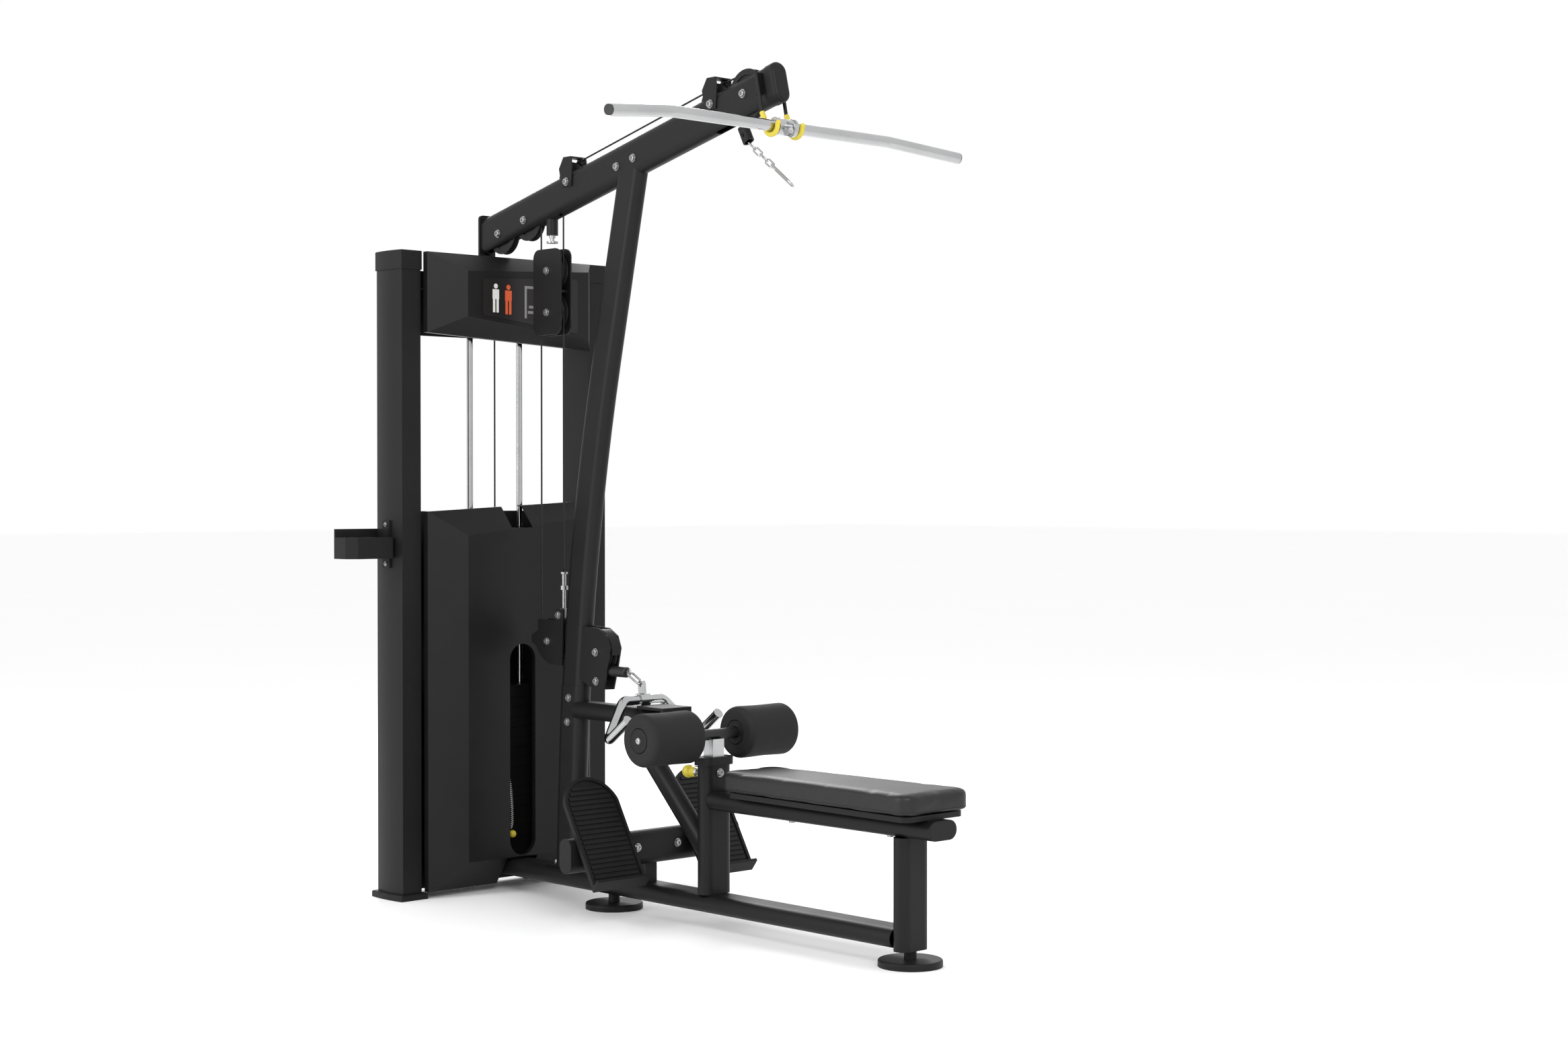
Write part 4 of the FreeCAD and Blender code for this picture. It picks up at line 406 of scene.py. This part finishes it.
# %% Finishes on the CAD nodes
POP_PIN_KNOB_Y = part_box("pop_pin")[1].y - 0.0525        # where the ball starts on its shaft
ROW_STOP_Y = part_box("row_cable_end")[1].y - 0.0705      # where the stop ends and its hook starts
BAR_BEND = Vector((0.393, -0.3875, 2.146))              # last bend of the bar's middle line
BAR_TIP = Vector((0.629, -0.4325, 2.119))               # end of the middle line, inside the plug
ROLLER_AXLE = (-0.1065, 0.5265)                         # y and z of the rollers' axle
AXLE_HALF = 0.2425                                      # half the painted length of the axle

# name: colours of the low and high spots, roughness, cells per metre, depth of the grain
PLASTICS = {
    "black_plastic": (0.004, 0.012, 0.5, 620.0, 0.0002),
    "shroud_plastic": (0.0045, 0.010, 0.42, 1100.0, 0.0001),
    "stack_iron": (0.003, 0.010, 0.36, 300.0, 0.00025),
    "pulley_nylon": (0.005, 0.014, 0.4, 1500.0, 0.00006),
}
finishes = {name: moulded(name, (low,) * 3, (high,) * 3, rough, scale, depth)
            for name, (low, high, rough, scale, depth) in PLASTICS.items()}
finishes.update({
    "black_powder_coat": powder_coat(),
    "chrome": chrome(),
    "bright_steel": zinc(),
    "cable_cover": cable_cover(),
    "lanyard_plastic": cord_plastic(),
    "yellow_coat": lemon("dipped_yellow", 0.42, 0.5),
    "yellow_plastic": lemon("moulded_yellow", 0.28, 0.7),
    "black_vinyl": vinyl(),
    "foam": foam(),
})
special = {
    "row_cable_end": stop_and_hook("row_stop", ROW_STOP_Y),
    "pop_pin": knob_on_shaft("pull_pin", POP_PIN_KNOB_Y),
    "lat_bar": bar_with_plugs("bar_chrome", BAR_BEND, BAR_TIP),
    "roller_post": post_and_axle("roller_post", ROLLER_AXLE, AXLE_HALF),
}


def put_finish(piece, finish):
    piece.data.materials.clear()
    piece.data.materials.append(finish)


for name, node in nodes.items():
    put_finish(node, special.get(name, finishes[slot_of[name]]))
print("finishes:", len(finishes) + len(special))


# %% [markdown]
# New pieces are grids of points. A surface is an array of rings, each ring an array of points, and
# its faces are the quads between neighbours. The ends are closed with a point in the middle. The
# signed volume tells whether the faces point outwards, and they are turned round if it is negative.

# %% Surfaces from arrays
def mesh_piece(name, points, faces, finish, body, smooth=True):
    """A mesh from a point array and an index array, facing outwards, riding on a CAD body."""
    corners = [points[faces[:, 0]], points[faces[:, 1]], points[faces[:, 2]]]
    volume = np.einsum("ij,ij->i", corners[0], np.cross(corners[1], corners[2])).sum()
    if faces.shape[1] == 4:
        last = points[faces[:, 3]]
        volume += np.einsum("ij,ij->i", corners[0], np.cross(corners[2], last)).sum()
    if volume < 0:
        faces = faces[:, ::-1]
    mesh = bpy.data.meshes.new(name)
    mesh.from_pydata(points.tolist(), [], [tuple(dict.fromkeys(f)) for f in faces.tolist()])
    mesh.polygons.foreach_set("use_smooth", np.full(len(mesh.polygons), smooth))
    mesh.update()
    piece = bpy.data.objects.new(name, mesh)
    bpy.context.scene.collection.objects.link(piece)
    put_finish(piece, finish)
    if body:
        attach(piece, body)
    return piece


def ring_faces(rings, across):
    """Quads between rings of points; the end rings close onto a middle point each."""
    i, j = np.meshgrid(np.arange(rings - 1), np.arange(across), indexing="ij")
    k = (j + 1) % across
    quads = np.stack([i * across + j, i * across + k, (i + 1) * across + k, (i + 1) * across + j], -1)
    quads = quads.reshape(-1, 4)
    j = np.arange(across)
    k = (j + 1) % across
    first, last = rings * across, rings * across + 1
    top = (rings - 1) * across
    ends = [np.stack([np.full(across, first), k, j, j], -1),
            np.stack([np.full(across, last), top + j, top + k, top + k], -1)]
    return np.concatenate([quads, *ends])


def wrapped_faces(rings, across):
    """Quads between rings of points, with the last ring joined to the first."""
    i, j = np.meshgrid(np.arange(rings), np.arange(across), indexing="ij")
    down, along = (i + 1) % rings, (j + 1) % across
    faces = np.stack([i * across + j, i * across + along, down * across + along, down * across + j], -1)
    return faces.reshape(-1, 4)


def closed_points(rings):
    """The points of (n, m, 3) rings, followed by the middle of the first and of the last ring."""
    return np.concatenate([rings.reshape(-1, 3), rings[0].mean(0)[None], rings[-1].mean(0)[None]])


def tube_rings(path, radius, segments, reference=(1.0, 0.0, 0.0)):
    """Circles square to a path: centre + radius (cos t side + sin t up), where side is across the
    path and the reference direction, and up is across the path and side."""
    along = np.gradient(path, axis=0)
    along /= np.linalg.norm(along, axis=1)[:, None]
    side = np.cross(along, reference)
    side /= np.linalg.norm(side, axis=1)[:, None]
    up = np.cross(side, along)
    turn = np.linspace(0.0, 2.0 * np.pi, segments, endpoint=False)
    circle = np.cos(turn)[None, :, None] * side[:, None] + np.sin(turn)[None, :, None] * up[:, None]
    return path[:, None] + np.reshape(radius, (-1, 1, 1)) * circle


def lathe_rings(profile, middle, segments=96):
    """Rings about an axis along X: each profile row is (x, radius), and a point is
    (x, middle y + radius cos t, middle z + radius sin t)."""
    turn = np.linspace(0.0, 2.0 * np.pi, segments, endpoint=False)
    x = np.repeat(profile[:, :1], segments, 1)
    y = middle[1] + profile[:, 1:] * np.cos(turn)
    z = middle[2] + profile[:, 1:] * np.sin(turn)
    return np.stack([x, y, z], -1)


# %% [markdown]
# Seven straight stretches of cable get longer or shorter as the machine moves. Each one runs from a
# fixed body at one end to a moving body at the other, so it is made again here as a fine tube with
# many rings, baked in place, and its CAD stretch is hidden. The pulleys and the fixed stretches stay
# as CAD made them. The row cable is pulled up a slope, but here it is one level stretch at the middle
# height of its CAD run.

# %% Cable stretches that change length
CABLE_R = 0.0025
CABLE_SIDES = 16
RUN_RINGS = 60


def cable_run(name, fixed_end, moving_end, node):
    """A straight tube between two points, baked in place and on no body. The CAD node it replaces is
    hidden."""
    share = np.linspace(0.0, 1.0, RUN_RINGS)[:, None]
    path = np.array(fixed_end) * (1.0 - share) + np.array(moving_end) * share
    rings = tube_rings(path, CABLE_R, CABLE_SIDES)
    run = mesh_piece(name, closed_points(rings), ring_faces(RUN_RINGS, CABLE_SIDES), finishes["cable_cover"],
                     None)
    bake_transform(run)
    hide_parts(node)


def middle_of(node):
    low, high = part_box(node)
    return (low + high) / 2.0


stack_low, stack_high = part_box("cable_stack_run")
stack_y = middle_of("cable_stack_run").y
cable_run("stack_cable", (0, stack_y, stack_high.z), (0, stack_y, stack_low.z),
          "cable_stack_run")

upper_low, upper_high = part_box("cable_upper_runs")
lower_low, lower_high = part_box("cable_lower_runs")
for side, y in (("front", upper_low.y + CABLE_R), ("rear", upper_high.y - CABLE_R)):
    cable_run("block_cable_" + side, (0, y, upper_high.z), (0, y, upper_low.z),
              "cable_upper_runs")
    cable_run("anchor_cable_" + side, (0, y, lower_low.z), (0, y, lower_high.z),
              "cable_lower_runs")

row_low, row_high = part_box("cable_row_run")
row_z = middle_of("cable_row_run").z
cable_run("row_cable", (0, row_high.y, row_z), (0, row_low.y, row_z), "cable_row_run")

# %% Cable from the front wheel to the stop block
lat_low, lat_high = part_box("cable_lat_run")
lat_top = (0, lat_low.y + CABLE_R, lat_high.z - CABLE_R)
lat_bottom = (0, lat_high.y - CABLE_R, lat_low.z + CABLE_R)
cable_run("lat_cable", lat_top, lat_bottom, "cable_lat_run")
print("the lat cable hangs", round(lat_top[2] - lat_bottom[2], 3), "m at rest")

# %% [markdown]
# The seat is a firm foam slab under stretched vinyl. Its cover is pulled over the edges and stapled
# beneath, so the top is crowned, the corners are soft and the sides bulge a little. That comes from
# a short cloth simulation: the CAD block is remeshed, blown up gently with gravity off, and every
# point's movement is capped. Smoothing draws the ends in, so the slab is fitted to its block again.

# %% Seat pad
PAD_VOXEL = 0.005           # face size of the remeshed slab
PAD_SHRINK = 0.993          # room for the swelling
PAD_CAP = 0.005             # furthest that the swelling moves a point
PAD_PRESSURE = 4.0
PAD_STIFFNESS = 25.0
PAD_FRAMES = 20
PAD_MARGIN = 0.0005         # between the finished cushion and the block's box


def remeshed_copy(node, name, voxel, shrink):
    """A welded copy of a CAD node, scaled towards its middle and remeshed into even quads."""
    copy = nodes[node].copy()
    copy.data = nodes[node].data.copy()
    copy.name = name
    copy.parent = None
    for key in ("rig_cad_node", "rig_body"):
        if key in copy:
            del copy[key]
    bpy.context.scene.collection.objects.link(copy)
    middle = np.array(middle_of(node))
    flat = np.empty(len(copy.data.vertices) * 3, np.float32)
    copy.data.vertices.foreach_get("co", flat)
    points = (flat.reshape(-1, 3) - middle) * shrink + middle
    copy.data.vertices.foreach_set("co", points.astype(np.float32).ravel())
    bpy.context.view_layer.objects.active = copy
    merge = copy.modifiers.new("weld", "WELD")
    merge.merge_threshold = 0.0002
    remesh = copy.modifiers.new("remesh", "REMESH")
    remesh.mode = "VOXEL"
    remesh.voxel_size = voxel
    apply_modifiers(copy)
    return copy


def apply_modifiers(piece):
    """Replaces a piece's mesh by what its modifiers make of it."""
    graph = bpy.context.evaluated_depsgraph_get()
    made = bpy.data.meshes.new_from_object(piece.evaluated_get(graph))
    piece.modifiers.clear()
    old = piece.data
    piece.data = made
    bpy.data.meshes.remove(old)


def points_of(piece):
    flat = np.empty(len(piece.data.vertices) * 3, np.float32)
    piece.data.vertices.foreach_get("co", flat)
    return flat.reshape(-1, 3).astype(float)


def inflate(piece, cap):
    """Blows a closed mesh up as cloth for a few frames, and caps how far each point moved."""
    rest = points_of(piece)
    cloth = piece.modifiers.new("cloth", "CLOTH")
    cloth.settings.use_pressure = True
    cloth.settings.uniform_pressure_force = PAD_PRESSURE
    cloth.settings.effector_weights.gravity = 0.0
    cloth.settings.tension_stiffness = PAD_STIFFNESS
    cloth.settings.compression_stiffness = PAD_STIFFNESS
    scene = bpy.context.scene
    for step in range(1, PAD_FRAMES + 1):
        scene.frame_set(step)
    apply_modifiers(piece)
    scene.frame_set(1)
    moved = points_of(piece) - rest
    far = np.linalg.norm(moved, axis=1)[:, None]
    moved *= np.minimum(1.0, cap / np.maximum(far, 1e-9))
    piece.data.vertices.foreach_set("co", (rest + moved).astype(np.float32).ravel())
    print(piece.name, "swelled by at most", round(float(far.max()) * 1000, 1), "mm before the cap")


def fit_to_box(piece, low, high, margin):
    """Stretches a piece along each axis so that it fills a box, less a small margin."""
    points = points_of(piece)
    size = points.max(0) - points.min(0)
    target = np.array(high) - np.array(low) - 2.0 * margin
    points = (points - points.min(0)) * target / size + np.array(low) + margin
    piece.data.vertices.foreach_set("co", points.astype(np.float32).ravel())


seat = remeshed_copy("seat_pad", "seat_cushion", PAD_VOXEL, PAD_SHRINK)
inflate(seat, PAD_CAP)
pad_low, pad_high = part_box("seat_pad")
smooth = seat.modifiers.new("smooth", "SMOOTH")
smooth.factor = 0.5
smooth.iterations = 3
apply_modifiers(seat)
rounding = seat.modifiers.new("subdivision", "SUBSURF")
rounding.levels = 1
rounding.render_levels = 1
apply_modifiers(seat)
fit_to_box(seat, pad_low, pad_high, PAD_MARGIN)
seat.data.polygons.foreach_set("use_smooth", np.full(len(seat.data.polygons), True))
put_finish(seat, finishes["black_vinyl"])
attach(seat, "frame")
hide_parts("seat_pad")
print("seat faces:", len(seat.data.polygons))

# %% [markdown]
# A fine sewn seam runs round the seat near its lower edge, where the cover's top panel meets its
# boxing. A path drawn from the plan would leave the swelled surface, so rays from the seat's middle
# line find the surface instead: one ray for each step round, cast outwards at the seam's height. A
# thread that is half sunk into the surface follows the hits.

# %% Seam round the seat
SEAM_R = 0.0013
SEAM_UP = 0.011             # height above the pad's underside
SEAM_STEPS = 420
SEAM_ENDS_IN = 0.11         # how far the line of the rays' starts stops short of the pad's ends


def loop_piece(name, path, radius, finish, body, segments=8, reference=(0.0, 0.0, 1.0)):
    """A closed thread: rings round a closed path, the last ring joined to the first."""
    wrapped = np.concatenate([path[-2:], path, path[:2]])
    rings = tube_rings(wrapped, radius, segments, reference)[2:-2]
    return mesh_piece(name, rings.reshape(-1, 3), wrapped_faces(len(path), segments), finish, body)


def surface_loop(piece, middle, half_length, height, steps):
    """Points where rays from a stretched middle meet a piece. A ray starts on the middle line, at
    half_length times the sine of its angle, so that long sides and ends get even steps."""
    tree = BVHTree.FromPolygons(points_of(piece).tolist(), [tuple(p.vertices) for p in piece.data.polygons])
    hits = []
    for angle in np.linspace(0.0, 2.0 * np.pi, steps, endpoint=False):
        start = Vector((middle.x, middle.y + half_length * math.sin(angle), height))
        hit = tree.ray_cast(start, Vector((math.cos(angle), math.sin(angle), 0.0)))[0]
        if hit is not None:
            hits.append(tuple(hit))
    return np.array(hits)


seam_half = (pad_high.y - pad_low.y) / 2.0 - SEAM_ENDS_IN
seam_path = surface_loop(seat, middle_of("seat_pad"), seam_half, pad_low.z + SEAM_UP, SEAM_STEPS)
loop_piece("seat_seam", seam_path, SEAM_R, finishes["black_vinyl"], "frame")
print("seam length", round(float(np.linalg.norm(np.diff(seam_path, axis=0), axis=1).sum()), 3), "m")

# %% [markdown]
# The upper cover carries a dark placard with simple pictograms: two standing figures, a machine and
# a block. The card is a thin plate with rounded corners. Each corner is a short Bezier curve between
# two points on its edges. The pictograms are masks made of discs and rectangles in the card's plane,
# so they stay sharp at any distance and hold no lettering.

# %% Placard on the upper cover
CARD_CORNERS = np.array([(-0.145, 1.707), (0.209, 1.666), (0.209, 1.831), (-0.145, 1.8135)])
CARD_BACK, CARD_FRONT = 0.7454, 0.7435
CARD_RADIUS = 0.012


def rounded_polygon(corners, radius, steps=8):
    """Each corner C becomes (1 - t)^2 A + 2 t (1 - t) C + t^2 B, with A and B at radius from C."""
    t = np.linspace(0.0, 1.0, steps)[:, None]
    outline = []
    for before, corner, after in zip(np.roll(corners, 1, 0), corners, np.roll(corners, -1, 0)):
        a = corner + radius * (before - corner) / np.linalg.norm(before - corner)
        b = corner + radius * (after - corner) / np.linalg.norm(after - corner)
        outline.append((1 - t) ** 2 * a + 2 * t * (1 - t) * corner + t ** 2 * b)
    return np.concatenate(outline)


def placard_print():
    card = Finish("placard_print", (0.01, 0.008, 0.008), 0.38, Specular_IOR_Level=0.3)
    x, z = card.axis("X"), card.axis("Z")

    def patch(at_x, at_z, half_x, half_z):
        return (1.0 - (x - at_x).absolute().above(half_x)) * (1.0 - (z - at_z).absolute().above(half_z))

    def disc(at_x, at_z, radius):
        across, up = x - at_x, z - at_z
        return 1.0 - (across * across + up * up).above(radius * radius)

    def figure(at_x, foot_z, tall):
        """A standing figure: head, trunk and two legs."""
        return (disc(at_x, foot_z + 0.91 * tall, 0.085 * tall)
                + patch(at_x, foot_z + 0.63 * tall, 0.14 * tall, 0.17 * tall)
                + patch(at_x - 0.075 * tall, foot_z + 0.23 * tall, 0.05 * tall, 0.23 * tall)
                + patch(at_x + 0.075 * tall, foot_z + 0.23 * tall, 0.05 * tall, 0.23 * tall))

    machine = (patch(0.012, 1.752, 0.004, 0.048) + patch(0.038, 1.796, 0.026, 0.004)
               + patch(0.05, 1.722, 0.03, 0.004) + patch(0.036, 1.738, 0.012, 0.004))
    block = patch(0.15, 1.728, 0.036, 0.022)
    shade = card.mix(figure(-0.098, 1.716, 0.085), (0.01, 0.008, 0.008, 1.0), (0.62, 0.62, 0.6, 1.0))
    shade = card.mix(figure(-0.052, 1.712, 0.088), shade, (0.55, 0.09, 0.03, 1.0))
    shade = card.mix(machine, shade, (0.2, 0.2, 0.2, 1.0))
    card.set("Base Color", card.mix(block, shade, (0.12, 0.12, 0.12, 1.0)))
    return card.material


card_outline = rounded_polygon(CARD_CORNERS, CARD_RADIUS)
card_rings = np.stack([np.insert(card_outline, 1, y, axis=1) for y in (CARD_BACK, CARD_FRONT)])
mesh_piece("placard", closed_points(card_rings), ring_faces(2, len(card_outline)), placard_print(), "frame",
           smooth=False)
print("placard corners:", len(card_outline), "points")

# %% [markdown]
# Each thigh roller is a foam sleeve on a plastic hub. A sleeve is a lathe shape: a barrel with soft
# shoulders and a slight waist where legs have pressed it, and a flat face at each end round the
# hub. A few sine waves round the axis keep it from being a perfect cylinder. The foam and its two
# hub discs replace the one CAD node, and spin on its body.

# %% Foam rollers
FOAM_SHOULDER = 0.016
FOAM_WAIST = 0.0012
HUB_R = 0.0325
FOAM_BORE = HUB_R + 0.0015
FOAM_SKIN = 0.0006          # the ripple stays inside this much of the CAD roller
FOAM_RIPPLE = 0.00022
HUB_HOLE = 0.0068
AXLE_HOLE = 0.0152


def foam_profile(low_x, high_x, radius):
    """(x, radius) up one end face, over the shoulders and down the other end face. A shoulder is a
    quarter of a circle, and the barrel narrows by a cosine towards its middle."""
    quarter = np.linspace(0.0, np.pi / 2.0, 12)
    left = np.stack([low_x + FOAM_SHOULDER * (1.0 - np.cos(quarter)), radius - FOAM_SHOULDER
                     + FOAM_SHOULDER * np.sin(quarter)], -1)
    share = np.linspace(0.0, 1.0, 40)[1:-1]
    barrel = np.stack([low_x + FOAM_SHOULDER + share * (high_x - low_x - 2 * FOAM_SHOULDER),
                       radius - FOAM_WAIST * (1.0 - np.cos(2.0 * np.pi * share)) / 2.0], -1)
    right = np.stack([low_x + high_x - left[::-1, 0], left[::-1, 1]], -1)
    face = np.linspace(FOAM_BORE, radius - FOAM_SHOULDER, 10)[:-1]
    face_left = np.stack([np.full(len(face), low_x), face], -1)
    face_right = np.stack([np.full(len(face), high_x), face[::-1]], -1)
    return np.concatenate([face_left, left, barrel, right, face_right])


def open_lathe(name, profile, middle, finish, body, segments=120, ripple=0.0):
    """A ring-shaped piece: the profile goes once round its closed section, and the rings once round
    the axis. ripple adds a few low waves round the axis, for foam that is not quite true."""
    rings = lathe_rings(profile, middle, segments)
    turn = np.linspace(0.0, 2.0 * np.pi, segments, endpoint=False)
    wave = ripple * (np.sin(3.0 * turn + 0.7) + 0.6 * np.sin(7.0 * turn + 2.1))
    outward = np.stack([np.zeros(segments), np.cos(turn), np.sin(turn)], -1)
    swell = np.clip((profile[:, 1] - HUB_R) / 0.03, 0.0, 1.0)
    along = 1.0 + 0.5 * np.sin(profile[:, 0] * 60.0)
    rings = rings + (swell * along)[:, None, None] * (wave[:, None] * outward)[None]
    return mesh_piece(name, rings.reshape(-1, 3), wrapped_faces(len(profile), segments), finish, body)


def hub_profile(face_x, inward, hole):
    """A hub disc's section: a thin flange with a rounded rim, and a raised boss round the hole."""
    steps = [(0.004, hole), (-0.0006, hole), (-0.0012, hole + 0.002), (-0.0012, hole + 0.006),
             (-0.0004, hole + 0.008), (-0.0004, HUB_R - 0.004), (-0.0012, HUB_R - 0.002),
             (-0.0008, HUB_R - 0.0004), (0.0006, HUB_R), (0.0045, HUB_R)]
    return np.array([(face_x + inward * depth, radius) for depth, radius in steps])


for side in ("left", "right"):
    body = "foam_roller_" + side
    low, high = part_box(body)
    middle = middle_of(body)
    radius = (high.z - low.z) / 2.0
    profile = foam_profile(low.x, high.x, radius - FOAM_SKIN)
    sleeve_inside = np.array([(high.x - 0.004, FOAM_BORE), (low.x + 0.004, FOAM_BORE)])
    sleeve = open_lathe("roller_sleeve_" + side, np.concatenate([profile, sleeve_inside]), middle,
                        finishes["foam"], body, ripple=FOAM_RIPPLE)
    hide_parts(body)
    outer_x, inner_x = (low.x, high.x) if side == "left" else (high.x, low.x)
    for end, face_x, hole in (("out", outer_x, HUB_HOLE), ("in", inner_x, AXLE_HOLE)):
        inward = 1.0 if face_x == low.x else -1.0
        open_lathe("roller_hub_" + end + "_" + side, hub_profile(face_x, inward, hole), middle,
                   finishes["black_plastic"], body, segments=72)
print("foam rollers made")

# %% [markdown]
# The selector pin hangs on a curly cord so that it cannot be lost. The route is the same list as the
# CAD tube's, made into a smooth NURBS line, and the curl is a helix wound round it. The cord is baked
# in place and rides on no body.

# %% Curly cord on the pin
CURL_R = 0.0034
CURL_WIRE = 0.00095
CURL_TURNS = 26
STEPS_PER_TURN = 14
LANYARD_ROUTE = [(0.0, 0.8205, 0.334), (0.006, 0.8175, 0.318), (0.010, 0.8165, 0.286), (0.012, 0.8155, 0.252),
                 (0.012, 0.8135, 0.220), (0.009, 0.8105, 0.193), (0.003, 0.8065, 0.1765)]


def nurbs_points(route, resolution=24):
    """Evenly numbered points along a smooth order-3 NURBS line through a given route."""
    data = bpy.data.curves.new("route", "CURVE")
    data.dimensions = "3D"
    data.resolution_u = resolution
    spline = data.splines.new("NURBS")
    spline.points.add(len(route) - 1)
    for point, place in zip(spline.points, route):
        point.co = (*place, 1.0)
    spline.order_u = 3
    spline.use_endpoint_u = True
    carrier = bpy.data.objects.new("route", data)
    line = bpy.data.meshes.new_from_object(carrier)
    flat = np.empty(len(line.vertices) * 3, np.float32)
    line.vertices.foreach_get("co", flat)
    bpy.data.objects.remove(carrier)
    bpy.data.curves.remove(data)
    bpy.data.meshes.remove(line)
    return flat.reshape(-1, 3).astype(float)


def even_path(points, count):
    """The same line with its points spaced evenly along its length."""
    steps = np.linalg.norm(np.diff(points, axis=0), axis=1)
    travelled = np.concatenate([[0.0], np.cumsum(steps)])
    wanted = np.linspace(0.0, travelled[-1], count)
    return np.stack([np.interp(wanted, travelled, points[:, k]) for k in range(3)], -1), travelled[-1]


lanyard_line, lanyard_length = even_path(nurbs_points(LANYARD_ROUTE), CURL_TURNS * STEPS_PER_TURN)
spin = np.linspace(0.0, 2.0 * np.pi * CURL_TURNS, len(lanyard_line))
from_end = np.minimum(np.arange(len(spin)), np.arange(len(spin))[::-1])
curl_radius = CURL_R * np.clip(from_end / 20.0, 0.12, 1.0)[:, None]
cross = tube_rings(lanyard_line, 1.0, 4) - lanyard_line[:, None]
winding = np.cos(spin)[:, None] * cross[:, 0] + np.sin(spin)[:, None] * cross[:, 1]
helix = lanyard_line + curl_radius * winding
curl = mesh_piece("curly_cord", closed_points(tube_rings(helix, CURL_WIRE, 8)), ring_faces(len(helix), 8),
                  finishes["lanyard_plastic"], None)
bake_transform(curl)
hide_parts("pin_lanyard")
print("cord length along its route", round(float(lanyard_length), 4), "m")

# %% [markdown]
# The stage is a pale floor under a white sky, with soft area lights. A black machine on white needs
# long highlights to show its round tubes, so broad lights stand in front, at the left and behind.
# The standard view transform keeps white white, where a filmic one would grey the sky.

# %% Floor and light
FLOOR_HALF = 60.0
floor_mesh = bpy.data.meshes.new("floor")
floor_corners = [(FLOOR_HALF * x, FLOOR_HALF * y, 0) for x, y in ((-1, -1), (1, -1), (1, 1), (-1, 1))]
floor_mesh.from_pydata(floor_corners, [], [(0, 1, 2, 3)])
floor = bpy.data.objects.new("floor", floor_mesh)
bpy.context.scene.collection.objects.link(floor)
pale = Finish("pale_floor", (0.93, 0.93, 0.93), 0.7)
pale.set("Base Color", pale.mix(pale.noise(0.6, 2.0), (0.95, 0.95, 0.95, 1.0), (0.97, 0.97, 0.97, 1.0)))
put_finish(floor, pale.material)

world = bpy.data.worlds.new("studio")
world.use_nodes = True
sky = world.node_tree.nodes["Background"].inputs
sky["Color"].default_value = (1.0, 1.0, 1.0, 1.0)
sky["Strength"].default_value = 1.0
bpy.context.scene.world = world
bpy.context.scene.view_settings.view_transform = "Standard"


def softbox(name, place, target, size, power):
    """A square area light at place, turned towards target."""
    data = bpy.data.lights.new(name, "AREA")
    data.shape = "RECTANGLE"
    data.size, data.size_y = size
    data.energy = power
    lamp = bpy.data.objects.new(name, data)
    lamp.location = place
    lamp.rotation_mode = "QUATERNION"
    lamp.rotation_quaternion = (Vector(target) - Vector(place)).to_track_quat("-Z", "Y")
    bpy.context.scene.collection.objects.link(lamp)


softbox("key_light", (-3.0, -5.5, 4.5), (0, 0, 1.0), (3.0, 3.0), 200.0)
softbox("side_light", (-6.0, 1.5, 3.0), (0, 0.3, 1.0), (2.0, 4.0), 160.0)
softbox("back_light", (3.5, 5.0, 4.0), (0, 0, 1.2), (3.0, 2.0), 140.0)
